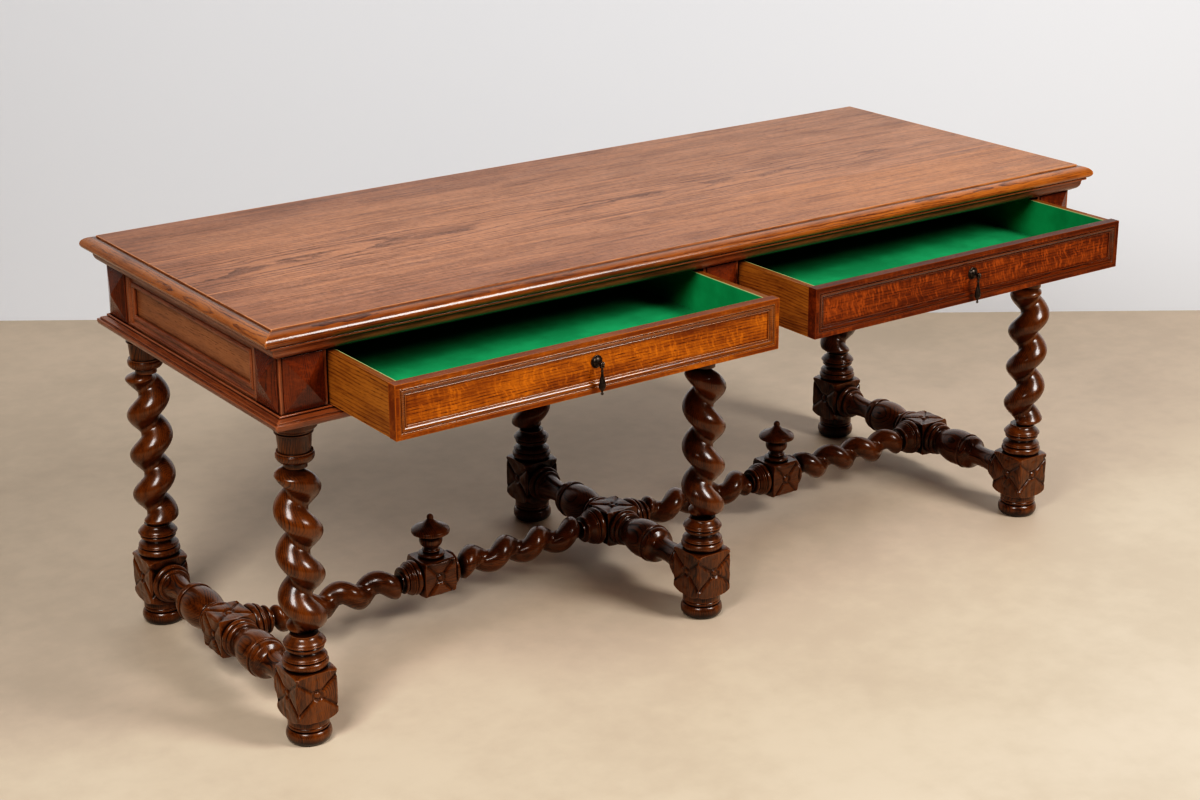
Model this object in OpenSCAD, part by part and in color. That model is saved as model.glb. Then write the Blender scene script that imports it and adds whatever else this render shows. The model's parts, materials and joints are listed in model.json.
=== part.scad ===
// Library table with barley-twist legs, turned stretchers and two lined drawers.
// Units are millimetres. X runs along the table, -Y is the drawer side, Z is up from the floor.

/* [Overall] */
// Length of the top over its edge mouldings
top_l = 1866; // [1600:1:2100]
// Depth of the top over its edge mouldings
top_w = 730; // [660:1:860]
// Height of the top above the floor
table_h = 760; // [720:1:820]
// How far both drawers stand open
drawer_open = 214; // [100:1:330]

/* [Top] */
// Thickness of the top boards
top_t = 26; // [22:1:34]
// Width of the edge moulding round the boards
edge_w = 24; // [18:1:30]
// Step down from the boards to the edge's ovolo
quirk_d = 3; // [1:0.5:5]
// Height of the widest line of the edge above its underside
nose_h = 9; // [6:0.5:14]
// Undercut of the edge below its widest line
nose_under = 10; // [4:0.5:14]
// Overhang of the top beyond each end of the frieze
overhang_x = 37; // [32:1:60]
// Overhang of the top beyond the front and the back of the frieze
overhang_y = 31; // [29:1:60]
// Height of the cornice under the top
cornice_h = 25; // [18:1:34]
// Projection of the cornice from the frieze
cornice_out = 25; // [16:1:28]

/* [Frieze] */
// Height of the frieze between the cornice and the base moulding
frieze_h = 98; // [84:1:130]
// Side of the square corner posts
post_w = 86; // [76:1:100]
// Width of the posts between the drawers
centre_post_w = 80; // [70:1:100]
// Height of the base moulding and the rail behind it
base_h = 23; // [18:1:34]
// Projection of the base moulding from the frieze
base_out = 19; // [14:1:28]
// Strip of the upper rail that shows under the cornice
rail_show = 3; // [1:0.5:8]
// Depth of the rails behind the face of the frieze
rail_d = 34; // [26:1:46]
// Thickness of the end and back panels
panel_t = 18; // [12:1:24]
// Depth of the panels behind the face of the frieze
panel_recess = 8; // [5:0.5:12]
// Width of the mouldings round the end and back panels
frame_w = 23; // [16:1:30]
// Flat margin beside the diamond bosses
boss_margin = 6; // [3:0.5:10]
// Flat margin above and below the diamond bosses
boss_gap = 2.5; // [1:0.5:10]
// Height of the diamond bosses at their points
boss_d = 15; // [8:0.5:24]
// Height of the upright edge round the diamond bosses
boss_edge = 2; // [1:0.5:4]

/* [Drawers] */
// Gap round the drawer fronts
drawer_gap = 1.5; // [1:0.1:3]
// Length of the drawers from front to back
drawer_l = 600; // [540:1:612]
// Thickness of the drawer fronts
front_t = 20; // [18:1:28]
// Thickness of the drawer sides
side_t = 13; // [10:0.5:18]
// Setback of the drawer sides from the ends of the front
side_inset = 3; // [1:0.5:6]
// Setback of the drawer sides' top below the top of the front
side_drop = 2; // [0:0.5:8]
// Thickness of the drawer backs
back_t = 12; // [8:0.5:18]
// Thickness of the drawer bottoms
bottom_t = 8; // [6:0.5:12]
// Height of the drawer bottoms above the lower edge of the sides
bottom_up = 10; // [6:0.5:16]
// Depth of the grooves that hold the drawer bottoms
groove_d = 5; // [3:0.5:7]
// Thickness of the felt lining
felt_t = 1.5; // [1:0.1:3]
// Flat border round the moulding of a drawer front
border_w = 8.5; // [5:0.5:14]
// Width of the moulding on a drawer front
bolection_w = 13; // [9:0.5:18]
// Depth of the sunk field of a drawer front
field_d = 5; // [3.5:0.5:7]
// Running clearance between the drawers and their runners
run_gap = 0.3; // [0.2:0.1:1]
// Width of a runner under a drawer side
runner_w = 30; // [20:1:40]
// Height of the guides beside the drawers
guide_h = 30; // [15:1:60]
// Thickness of the partition between the drawers
partition_t = 20; // [14:1:30]

/* [Pulls] */
// Radius of the rosette behind a pull
rosette_r = 11; // [8:0.5:14]
// Height of the dome of the rosette
rosette_h = 7; // [4:0.5:10]
// Distance of the hinge pin in front of the sunk field
pin_out = 16; // [13:0.5:22]
// Radius of the hinge pin
pin_r = 1.4; // [1:0.1:2]
// Clearance between the pin and its eye
pin_gap = 0.3; // [0.2:0.1:0.5]
// Radius of the eye round the pin
eye_r = 4.4; // [3.8:0.1:5.4]
// Thickness of the eye
eye_t = 3; // [2:0.1:4]
// Radius of the stem between the rosette and the eye
stem_r = 2.3; // [1.8:0.1:3]
// Gap between the eye and each cheek of the drop
cheek_gap = 0.4; // [0.3:0.1:0.8]
// Radius of each cheek of the drop
cheek_r = 3; // [2.4:0.1:3.4]
// Thickness of each cheek of the drop
cheek_t = 1.8; // [1.2:0.1:3]
// Length of the drop below its pin
drop_l = 54; // [40:1:64]
// Largest radius of the drop
drop_r = 5; // [3.5:0.1:7]
// Radius of the ball at the end of the drop
drop_ball_r = 2.6; // [2:0.1:4]
// Height of the pin above the middle of the drawer front
pin_up = 7; // [0:1:12]

/* [Legs] */
// Height of the bun foot with its ring
foot_h = 34; // [26:1:50]
// Largest radius of the bun foot
bun_r = 40; // [34:0.5:46]
// Radius of the flat underside of the foot
foot_r = 30.5; // [24:0.5:33]
// Radius of the ring on the foot
foot_ring_r = 36; // [30:0.5:39]
// Side of the square block above the foot
leg_block_w = 80; // [70:1:90]
// Height of the square block
leg_block_h = 104; // [95:1:130]
// Radius of the turned ends of the square block
block_end_r = 36; // [34:0.5:39]
// Height of the turned shoulder at the top of the block
block_turn = 8; // [5:1:24]
// Height of the turned shoulder at the foot of the block
block_turn_low = 18; // [8:1:30]
// Height of the plain turned length under the block's lower shoulder
block_collar_h = 12; // [4:1:20]
// Largest radius of the torus rings
torus_r = 40; // [36:0.5:44]
// Height of the lower torus group
base_group_h = 32; // [22:1:40]
// Largest radius of the upper ring group
ring_r = 38; // [34:0.5:42]
// Height of the upper ring group
ring_group_h = 30; // [24:1:40]
// Outer radius of the twist
twist_r = 41; // [34:0.5:44]
// Radius of the twist at the bottom of its hollow
twist_core_r = 15; // [12:0.5:22]
// Length of one turn of the twist
pitch = 79; // [60:1:110]
// Length over which the twist is drawn in at each end
twist_ease = 14; // [8:1:30]
// Length by which the turned parts of a leg or stretcher run into each other
let_in = 1; // [0.5:0.1:2]
// Radius of the necks between the turnings
neck_r = 24.5; // [20:0.5:28]
// Height of the collar above the twist
collar_h = 29; // [22:1:44]
// Radius of the collar
collar_r = 33; // [28:0.5:36]
// Height of the neck above the collar
neck_h = 31; // [14:1:40]
// Height of the cup under the abacus
cup_h = 20; // [16:1:40]
// Radius of the bead at the foot of the cup
cup_foot_r = 33; // [28:0.5:36]
// Radius of the cup at its rim
cup_r = 40; // [34:0.5:40]
// Height of the square abacus
abacus_h = 7; // [5:0.5:12]
// Side of the square abacus
abacus_w = 81.4; // [80:0.1:84]

/* [Stretchers] */
// Height of the stretchers' axis above the floor
stretcher_z = 90; // [84:1:100]
// Side of the square blocks where the stretchers meet
cross_block_w = 72; // [66:1:76]
// Side of the square blocks under the finials
finial_block_w = 70; // [64:1:76]
// Height of the turned shoulder on the stretcher blocks
stretcher_turn = 8; // [3:0.5:12]
// Radius of the rings of the cross stretchers
cross_ring_r = 36.5; // [32:0.5:38]
// Radius of the rings of the long stretchers
long_ring_r = 34; // [30:0.5:36]
// Length of the pair of rings beside a stretcher block
cross_ring_l = 24; // [18:1:32]
// Largest radius of the barrels
barrel_r = 38; // [33:0.5:40]
// Radius of the barrels at their small end
barrel_end_r = 28; // [24:0.5:31]
// Length of the barrels
barrel_l = 70; // [50:1:78]
// Largest radius of the bell beyond each barrel
bell_r = 35; // [32:0.5:40]
// Length of the bell beyond each barrel
bell_l = 44; // [24:1:50]
// Radius of the slim necks of the cross stretchers
slim_r = 16; // [13:0.5:20]
// Length of the flange beside each leg block
flange_l = 24; // [16:1:30]
// Outer radius of the long stretchers' twist
long_twist_r = 32; // [28:0.5:35]
// Radius of the long stretchers' twist at the bottom of its hollow
long_core_r = 11; // [9:0.5:16]
// Length of the cone ring before a finial block
cone_l = 38; // [26:1:50]
// Length of the thin ring after a finial block
thin_ring_l = 14; // [9:1:24]
// Length of the rings at each outer end of a long stretcher
end_rings_l = 42; // [28:1:56]
// Radius of the necks of the long stretchers
long_neck_r = 18; // [15:0.5:22]
// Length of the necks beside the long stretchers' twist
long_neck_l = 4; // [3:0.5:8]

/* [Finials] */
// Height of a finial above its block
finial_h = 86; // [70:1:120]
// Radius of the ring at the foot of a finial
finial_ring_r = 25.5; // [20:0.5:32]
// Radius of a finial's stem
finial_stem_r = 11; // [7:0.5:14]
// Largest radius of a finial's cap
finial_cap_r = 37; // [28:0.5:42]
// Radius of a finial's cup under the cap
finial_cup_r = 22.5; // [16:0.5:26]

/* [Hidden] */

// Tones of the woods, the felt and the metal
top_tone = [0.62, 0.44, 0.31];
frieze_tone = [0.42, 0.24, 0.14];
boss_tone = [0.55, 0.28, 0.12];
leg_tone = [0.33, 0.15, 0.07];
front_tone = [0.64, 0.36, 0.13];
case_tone = [0.60, 0.42, 0.22];
felt_tone = [0.09, 0.52, 0.30];
bronze_tone = [0.17, 0.14, 0.11];

// Levels, from the top down
top_z = table_h - top_t;
cornice_z = top_z - cornice_h;
frieze_z = cornice_z - frieze_h;
carcase_z = frieze_z - base_h;
abacus_z = carcase_z - abacus_h;

// Half sizes of the boards and of the frieze
board_x = top_l / 2 - edge_w;
board_y = top_w / 2 - edge_w;
frieze_x = top_l / 2 - overhang_x;
frieze_y = top_w / 2 - overhang_y;
leg_x = frieze_x - post_w / 2;
leg_y = frieze_y - post_w / 2;
carcase_h = top_z - carcase_z;

// Drawer openings and fronts
open_x0 = centre_post_w / 2;
open_x1 = frieze_x - post_w;
open_z1 = cornice_z - rail_show;
front_w = open_x1 - open_x0 - 2 * drawer_gap;
front_h = open_z1 - frieze_z - 2 * drawer_gap;
drawer_x = (open_x0 + open_x1) / 2;
drawer_face_y = -frieze_y - drawer_open;
drawer_box_w = front_w - 2 * side_inset;
side_z = frieze_z + run_gap;
side_h = front_h + drawer_gap - side_drop - run_gap;
side_l = drawer_l - front_t;
bay_w = drawer_box_w - 2 * side_t;
bottom_z = side_z + bottom_up;
pin_z = frieze_z + drawer_gap + front_h / 2 + pin_up;
field_y = drawer_face_y + field_d;
pin_y = field_y - pin_out;

// The middle of the stored box in Y is the origin, with the drawers standing open
pull_front = frieze_y + drawer_open - field_d + pin_out + drop_r;
table_y = (pull_front - top_w / 2) / 2;

// Turned profiles
block_z1 = foot_h + leg_block_h;
base_group_z1 = block_z1 + base_group_h;
twist_z = base_group_z1 + ring_group_h;
twist_z1 = abacus_z - cup_h - neck_h - collar_h;
turned_fn = 48;
twist_sides = 14;
twist_steps = 12;
strand_power = 0.55;
dome_fn = 32;

// Points of an arc round [r, z] with half axes a and b, from angle t0 to t1
function arc(r, z, a, b, t0, t1, n = 6) =
    [for (i = [0:n]) let (t = t0 + (t1 - t0) * i / n) [r + a * cos(t), z + b * sin(t)]];

// Points of an S curve from radius r0 at z0 to radius r1 at z1
function ogee(r0, z0, r1, z1, n = 6) =
    [for (i = [0:n]) [r0 + (r1 - r0) * (1 - cos(180 * i / n)) / 2, z0 + (z1 - z0) * i / n]];

// Points of a bellied line from r0 to r1 that swells by b in its middle
function belly(r0, z0, r1, z1, b, n = 8) =
    [for (i = [0:n]) [r0 + (r1 - r0) * i / n + b * sin(180 * i / n), z0 + (z1 - z0) * i / n]];

// A half-round ring from z0 to z1, which swells from radius r by half its height
function ring(r, z0, z1, n = 6) =
    arc(r - (z1 - z0) / 2, (z0 + z1) / 2, (z1 - z0) / 2, (z1 - z0) / 2, -90, 90, n);

// The lower or upper end of a turned profile, with a tenon that enters the next part
function tenon_down(r, z) = [[0, z - let_in], [r, z - let_in], [r, z]];
function tenon_up(r, z) = [[r, z], [r, z + let_in], [0, z + let_in]];

// Radius of the strand's section at an angle from its ridge
function strand(r_max, r_min, phi) = r_min + (r_max - r_min) * pow((1 + cos(phi)) / 2, strand_power);

// How much of the strand stands at height z of a stem whose ends are drawn in to a share of it
function drawn(z, len, ease, share) =
    let (e = max(0, min(1, min(z, len - z) / ease))) share + (1 - share) * sin(90 * e);

module at_table() {
    translate([0, table_y, 0])
        children();
}

module slab(x0, x1, y0, y1, z0, z1) {
    translate([x0, y0, z0])
        cube([x1 - x0, y1 - y0, z1 - z0]);
}

module turned(points) {
    rotate_extrude($fn = turned_fn)
        polygon(points);
}

// One length of moulding: its section is [out, up], its ends are mitred, longer outside
module mitred(len, reach, grow) {
    intersection() {
        rotate([90, 0, 90])
            linear_extrude(len + 2 * reach, center = true)
                children();
        translate([0, 0, -reach * 4])
            linear_extrude(reach * 8)
                polygon([
                    [-len / 2, 0], [len / 2, 0],
                    [len / 2 + grow * reach, reach], [-len / 2 - grow * reach, reach]
                ]);
    }
}

// Side 0 is the front, 1 the right end, 2 the back and 3 the left end
module on_side(side, half_x, half_y) {
    rotate([0, 0, 180 + 90 * side])
        translate([0, side % 2 == 0 ? half_y : half_x, 0])
            children();
}

// Four mitred lengths inside an opening w by h, facing +Z
module panel_frame(w, h, reach) {
    for (side = [0:3])
        on_side(side, w / 2, h / 2)
            mirror([0, 1, 0])
                mitred(side % 2 == 0 ? w : h, reach, -1)
                    children();
}

// Turns a flat piece that faces +Z so that it stands up and faces the front, end or back
module facing(side, half_x, half_y, z) {
    on_side(side, half_x, half_y)
        translate([0, 0, z])
            rotate([-90, 180, 0])
                children();
}

module edge_section() {
    polygon(concat(
        [[0, 0], [0, top_t - quirk_d]],
        arc(quirk_d / 2, nose_h, edge_w - quirk_d / 2, top_t - quirk_d - nose_h, 90, 0),
        arc(edge_w - nose_under, nose_h, nose_under, nose_h, -15, -90)
    ));
}

module cornice_section() {
    polygon(concat(
        [[0, 0], [cornice_out * 0.22, 0]],
        arc(cornice_out * 0.22, cornice_h * 0.66, cornice_out * 0.5, cornice_h * 0.6, -90, 0),
        arc(cornice_out * 0.96, cornice_h * 0.66, cornice_out * 0.24, cornice_h * 0.2, 180, 90),
        [[cornice_out, cornice_h * 0.86], [cornice_out, cornice_h], [0, cornice_h]]
    ));
}

module base_section() {
    polygon(concat(
        [[0, 0], [base_out * 0.62, 0]],
        arc(base_out * 0.62, base_h * 0.39, base_out * 0.38, base_h * 0.39, -75, 0),
        [[base_out, base_h * 0.54], [base_out * 0.76, base_h * 0.54], [base_out * 0.76, base_h * 0.68]],
        [[base_out * 0.3, base_h * 0.8]],
        arc(base_out * 0.14, base_h * 0.9, base_out * 0.14, base_h * 0.1, -80, 90)
    ));
}

// Moulding round an end or back panel: its section is [in, up from the panel]
module frame_section() {
    polygon(concat(
        [[0, 0], [0, panel_recess], [frame_w * 0.16, panel_recess]],
        arc(frame_w * 0.46, panel_recess, frame_w * 0.24, panel_recess * 0.62, 180, 270),
        [[frame_w * 0.62, panel_recess * 0.38], [frame_w * 0.62, panel_recess * 0.66]],
        arc(frame_w * 0.8, panel_recess * 0.5, frame_w * 0.2, panel_recess * 0.4, 110, 0),
        [[frame_w, 0]]
    ));
}

// Moulding in the sunk field of a drawer front: bead, quirk, ovolo, quirk and bead
module bolection_section() {
    polygon(concat(
        [[0, 0], [0, field_d * 0.8]],
        arc(bolection_w * 0.08, field_d * 0.8, bolection_w * 0.08, field_d * 0.16, 180, 0, 5),
        [[bolection_w * 0.22, field_d * 0.6]],
        arc(bolection_w * 0.24, field_d * 0.3, bolection_w * 0.5, field_d * 0.58, 85, 5),
        [[bolection_w * 0.78, field_d * 0.2]],
        arc(bolection_w * 0.91, field_d * 0.24, bolection_w * 0.09, field_d * 0.16, 180, 0, 5),
        [[bolection_w, 0]]
    ));
}

// Square block with its corners turned off towards both ends, above a turned length, along +Z
module turned_block(w, len, end_r, turn0, turn1, collar = 0) {
    corner_r = w * 0.7072;
    intersection() {
        translate([-w / 2, -w / 2, 0])
            cube([w, w, len]);
        turned(concat(
            [[0, 0]],
            [[end_r, 0]],
            arc(end_r, collar + turn0, corner_r - end_r, turn0, -90, 0, 8),
            arc(end_r, len - turn1, corner_r - end_r, turn1, 0, 90, 8),
            [[0, len]]
        ));
    }
}

// One fat strand wound round the axis: the facets follow the strand, hand is 1 or -1
module twist_stem(len, r_max, r_min, end_r, hand, start) {
    run = len + 2 * let_in;
    rings = ceil(run / pitch * twist_steps);
    points = [
        for (k = [0:rings])
            let (z = run * k / rings - let_in, s = drawn(z, len, twist_ease, end_r / r_max))
                for (i = [0:twist_sides - 1])
                    let (
                        phi = 360 * i / twist_sides,
                        r = s * strand(r_max, r_min, phi),
                        a = start + hand * (phi + 360 * z / pitch)
                    )
                        [r * cos(a), r * sin(a), z]
    ];
    last = rings * twist_sides;
    ends = [
        [for (i = [0:twist_sides - 1]) i],
        [for (i = [twist_sides - 1:-1:0]) last + i]
    ];
    walls = [
        for (k = [0:rings - 1])
            for (i = [0:twist_sides - 1])
                let (
                    j = (i + 1) % twist_sides,
                    a = k * twist_sides + i,
                    b = k * twist_sides + j,
                    c = a + twist_sides,
                    d = b + twist_sides
                )
                    each [[a, c, b], [b, c, d]]
    ];
    faces = concat(ends, walls);
    polyhedron(points, hand > 0 ? faces : [for (f = faces) [for (i = [len(f) - 1:-1:0]) f[i]]]);
}

// Leg from the floor to the carcase, standing on the origin
module leg(hand, start) {
    bun_top = foot_h * 0.74;
    group_z = block_z1;
    ring_z = base_group_z1;
    cup_z = abacus_z - cup_h;
    // Bun foot and its ring
    turned(concat(
        [[0, 0], [foot_r, 0]],
        arc(foot_r, foot_h * 0.4, bun_r - foot_r, foot_h * 0.4, -75, 55),
        [[foot_ring_r * 0.94, bun_top]],
        ring(foot_ring_r, bun_top, foot_h),
        tenon_up(block_end_r * 0.88, foot_h)
    ));
    translate([0, 0, foot_h])
        turned_block(leg_block_w, leg_block_h, block_end_r, block_turn_low, block_turn, block_collar_h);
    // Torus, bead and slope above the block, then the ring group under the twist
    turned(concat(
        tenon_down(block_end_r * 0.88, group_z),
        arc(torus_r - base_group_h * 0.26, group_z + base_group_h * 0.27,
            base_group_h * 0.26, base_group_h * 0.26, -85, 85),
        ring(torus_r * 0.97, group_z + base_group_h * 0.55, group_z + base_group_h * 0.65),
        ogee(torus_r * 0.93, group_z + base_group_h * 0.67, neck_r * 1.18, ring_z - base_group_h * 0.03),
        [[neck_r * 1.18, ring_z]],
        arc(ring_r * 0.93 - ring_group_h * 0.17, ring_z + ring_group_h * 0.19,
            ring_group_h * 0.17, ring_group_h * 0.17, -80, 80),
        ring(ring_r, ring_z + ring_group_h * 0.38, ring_z + ring_group_h * 0.5),
        ogee(ring_r * 0.95, ring_z + ring_group_h * 0.52, neck_r, twist_z - ring_group_h * 0.05),
        [[neck_r, twist_z], [0, twist_z]]
    ));
    translate([0, 0, twist_z])
        twist_stem(twist_z1 - twist_z, twist_r, twist_core_r, neck_r * 0.8, hand, start);
    // Collar, neck and cup
    turned(concat(
        [[0, twist_z1], [neck_r * 0.82, twist_z1], [neck_r * 0.82, twist_z1 + collar_h * 0.3]],
        arc(collar_r * 0.68, twist_z1 + collar_h * 0.74, collar_r * 0.32, collar_h * 0.42, -80, 15),
        [[collar_r * 0.92, twist_z1 + collar_h * 0.9], [collar_r * 0.94, twist_z1 + collar_h]],
        [[neck_r * 1.12, twist_z1 + collar_h], [neck_r * 1.22, cup_z]],
        ring(cup_foot_r, cup_z, cup_z + cup_h * 0.22),
        ogee(cup_foot_r, cup_z + cup_h * 0.24, cup_r, cup_z + cup_h * 0.7),
        [[cup_r, abacus_z]],
        tenon_up(cup_r * 0.9, abacus_z)
    ));
    slab(-abacus_w / 2, abacus_w / 2, -abacus_w / 2, abacus_w / 2, abacus_z, carcase_z);
}

// Half of a cross stretcher along +Z from the face of its block to the leg block
module cross_half(len) {
    ring_1 = cross_ring_l;
    gap = cross_ring_l / 8;
    barrel_0 = ring_1 + cross_ring_l / 3;
    barrel_1 = barrel_0 + barrel_l;
    bell_0 = barrel_1 + gap;
    bell_1 = bell_0 + bell_l;
    flange_0 = len - flange_l;
    turned(concat(
        tenon_down(cross_ring_r * 0.6, 0),
        ring(cross_ring_r, 0, ring_1 * 0.55),
        ring(cross_ring_r * 0.92, ring_1 * 0.55, ring_1),
        [[barrel_end_r * 0.9, ring_1 + gap / 2], [barrel_end_r * 0.9, barrel_0 - gap / 2]],
        belly(barrel_end_r, barrel_0, barrel_r * 0.94, barrel_1 - gap, barrel_r * 0.14),
        [[barrel_r * 0.88, barrel_1 - gap]],
        ring(barrel_r, barrel_1 - gap * 0.7, bell_0),
        ogee(bell_r, bell_0 + gap * 0.3, slim_r, bell_1),
        ogee(slim_r, bell_1 + 2 * gap, barrel_end_r * 0.93, flange_0 - gap),
        [[barrel_end_r * 0.93, flange_0]],
        ring(cross_ring_r * 0.87, flange_0, flange_0 + flange_l * 0.36),
        [[cross_ring_r * 0.78, flange_0 + flange_l * 0.42]],
        ring(cross_ring_r * 1.03, flange_0 + flange_l * 0.46, len),
        [[0, len]]
    ));
}

module cross_stretcher() {
    half_b = cross_block_w / 2;
    len = leg_y - leg_block_w / 2 - half_b;
    translate([0, 0, stretcher_z]) {
        rotate([90, 0, 0])
            translate([0, 0, -half_b])
                turned_block(cross_block_w, cross_block_w, cross_ring_r * 0.95, stretcher_turn, stretcher_turn);
        for (s = [-1, 1])
            rotate([s * 90, 0, 0])
                translate([0, 0, half_b])
                    cross_half(len);
    }
}

// Long stretcher along +Z between two cross blocks, with the finial block in its middle
module long_stretcher(hand_1, start_1, hand_2, start_2) {
    span = leg_x - cross_block_w;
    mid = span / 2;
    block_0 = mid - finial_block_w / 2;
    block_1 = mid + finial_block_w / 2;
    twist_0 = end_rings_l + long_neck_l;
    twist_1 = block_0 - cone_l;
    twist_2 = block_1 + thin_ring_l + long_neck_l;
    twist_3 = span - twist_0;
    end_rings();
    translate([0, 0, twist_0])
        twist_stem(twist_1 - twist_0, long_twist_r, long_core_r, long_neck_r * 0.92, hand_1, start_1);
    turned(concat(
        [[0, twist_1], [long_neck_r, twist_1], [long_neck_r, twist_1 + long_neck_l]],
        ring(long_ring_r * 0.78, twist_1 + long_neck_l, twist_1 + cone_l * 0.3),
        ogee(long_ring_r * 0.76, twist_1 + cone_l * 0.32, long_ring_r * 0.92, twist_1 + cone_l * 0.52),
        ring(long_ring_r * 0.97, twist_1 + cone_l * 0.54, twist_1 + cone_l * 0.66),
        ring(long_ring_r, twist_1 + cone_l * 0.66, block_0),
        tenon_up(long_ring_r * 0.7, block_0)
    ));
    translate([0, 0, block_0])
        turned_block(finial_block_w, finial_block_w, long_ring_r * 0.97, stretcher_turn, stretcher_turn);
    turned(concat(
        tenon_down(long_ring_r * 0.7, block_1),
        ring(long_ring_r, block_1 + thin_ring_l * 0.14, block_1 + thin_ring_l * 0.8),
        [[long_neck_r, block_1 + thin_ring_l], [long_neck_r, twist_2], [0, twist_2]]
    ));
    translate([0, 0, twist_2])
        twist_stem(twist_3 - twist_2, long_twist_r, long_core_r, long_neck_r * 0.92, hand_2, start_2);
    translate([0, 0, span])
        mirror([0, 0, 1])
            end_rings();
}

// Torus, bead, slope and ring at an outer end of a long stretcher
module end_rings() {
    turned(concat(
        [[0, 0], [long_ring_r * 0.76, 0]],
        ring(long_ring_r * 1.1, 0, end_rings_l * 0.38),
        ring(long_ring_r * 1.02, end_rings_l * 0.38, end_rings_l * 0.49),
        ogee(long_ring_r * 0.97, end_rings_l * 0.51, long_ring_r * 0.7, end_rings_l * 0.78),
        ring(long_ring_r * 0.78, end_rings_l * 0.8, end_rings_l * 0.96),
        [[long_neck_r, end_rings_l], [long_neck_r, end_rings_l + long_neck_l], [0, end_rings_l + long_neck_l]]
    ));
}

module finial() {
    cup_z = finial_h * 0.39;
    rim_z = finial_h * 0.575;
    knob_z = finial_h * 0.93;
    turned(concat(
        [[0, 0]],
        ring(finial_ring_r, 0, finial_h * 0.1),
        [[finial_stem_r * 1.25, finial_h * 0.12]],
        ring(finial_stem_r * 1.6, finial_h * 0.13, finial_h * 0.18),
        arc(finial_stem_r * 0.9, cup_z, finial_cup_r - finial_stem_r * 0.9, finial_h * 0.16, -75, 50),
        [[finial_cup_r * 0.95, finial_h * 0.515]],
        ogee(finial_cup_r, finial_h * 0.53, finial_cap_r * 0.98, rim_z),
        belly(finial_cap_r, rim_z + finial_h * 0.01, finial_stem_r * 1.1, finial_h * 0.81, finial_stem_r * 0.28),
        [[finial_stem_r * 0.7, finial_h * 0.85]],
        arc(0, knob_z, finial_stem_r * 0.45, finial_h - knob_z, -45, 90)
    ));
}

// Four-sided pyramid on a narrow upright edge, facing +Z
module boss(w, h) {
    intersection() {
        rotate([90, 0, 0])
            linear_extrude(h, center = true)
                polygon([[-w / 2, 0], [w / 2, 0], [w / 2, boss_edge], [0, boss_d], [-w / 2, boss_edge]]);
        rotate([90, 0, 90])
            linear_extrude(w, center = true)
                polygon([[-h / 2, 0], [h / 2, 0], [h / 2, boss_edge], [0, boss_d], [-h / 2, boss_edge]]);
    }
}

module top_board(row) {
    board_w = 2 * board_y / 3;
    color(top_tone)
        at_table()
            slab(-board_x, board_x, -board_y + row * board_w, -board_y + (row + 1) * board_w, top_z, table_h);
}

module top_edge(side) {
    color(top_tone)
        at_table()
            on_side(side, board_x, board_y)
                translate([0, 0, top_z])
                    mitred(side % 2 == 0 ? 2 * board_x : 2 * board_y, edge_w, 1)
                        edge_section();
}

module cornice(side) {
    color(frieze_tone)
        at_table()
            on_side(side, frieze_x, frieze_y)
                translate([0, 0, cornice_z])
                    mitred(side % 2 == 0 ? 2 * frieze_x : 2 * frieze_y, cornice_out, 1)
                        cornice_section();
}

module base_moulding(side) {
    color(frieze_tone)
        at_table()
            on_side(side, frieze_x, frieze_y)
                translate([0, 0, carcase_z])
                    mitred(side % 2 == 0 ? 2 * frieze_x : 2 * frieze_y, base_out, 1)
                        base_section();
}

module post(x, y, w) {
    color(frieze_tone)
        at_table()
            slab(x - w / 2, x + w / 2, y - post_w / 2, y + post_w / 2, carcase_z, top_z);
}

module diamond_bosses() {
    h = frieze_h - 2 * boss_gap;
    w = post_w - 2 * boss_margin;
    centre_w = centre_post_w - 2 * boss_margin;
    z = (cornice_z + frieze_z) / 2;
    color(boss_tone)
        at_table() {
            for (side = [0, 2])
                for (place = [-1, 0, 1])
                    facing(side, frieze_x, frieze_y, z)
                        translate([place * leg_x, 0, 0])
                            boss(place == 0 ? centre_w : w, h);
            for (side = [1, 3])
                for (place = [-1, 1])
                    facing(side, frieze_x, frieze_y, z)
                        translate([place * leg_y, 0, 0])
                            boss(w, h);
        }
}

module end_panel(s) {
    color(frieze_tone)
        at_table()
            translate([s * (frieze_x - panel_recess - panel_t / 2), 0, (carcase_z + top_z) / 2])
                cube([panel_t, 2 * frieze_y - 2 * post_w, carcase_h], center = true);
}

module end_mouldings() {
    color(frieze_tone)
        at_table()
            for (side = [1, 3])
                facing(side, frieze_x - panel_recess, frieze_y, (cornice_z + frieze_z) / 2)
                    panel_frame(2 * frieze_y - 2 * post_w, frieze_h, frame_w)
                        frame_section();
}

module back_panels() {
    y = frieze_y - panel_recess;
    color(frieze_tone)
        at_table()
            for (s = [-1, 1])
                translate([s * drawer_x, y - panel_t / 2, (carcase_z + top_z) / 2])
                    cube([open_x1 - open_x0, panel_t, carcase_h], center = true);
}

module back_mouldings() {
    color(frieze_tone)
        at_table()
            for (s = [-1, 1])
                facing(2, frieze_x, frieze_y - panel_recess, (cornice_z + frieze_z) / 2)
                    translate([s * drawer_x, 0, 0])
                        panel_frame(open_x1 - open_x0, frieze_h, frame_w)
                            frame_section();
}

// Two lengths of rail, one over or under each drawer opening
module front_rails(z0, z1) {
    color(frieze_tone)
        at_table()
            for (s = [-1, 1])
                translate([s * drawer_x, -frieze_y + rail_d / 2, (z0 + z1) / 2])
                    cube([open_x1 - open_x0, rail_d, z1 - z0], center = true);
}

module upper_rail() {
    front_rails(open_z1, top_z);
}

module lower_rail() {
    front_rails(carcase_z, frieze_z);
}

module centre_partition() {
    y = frieze_y - post_w;
    color(case_tone)
        at_table()
            slab(-partition_t / 2, partition_t / 2, -y, y, carcase_z, top_z);
}

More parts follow.
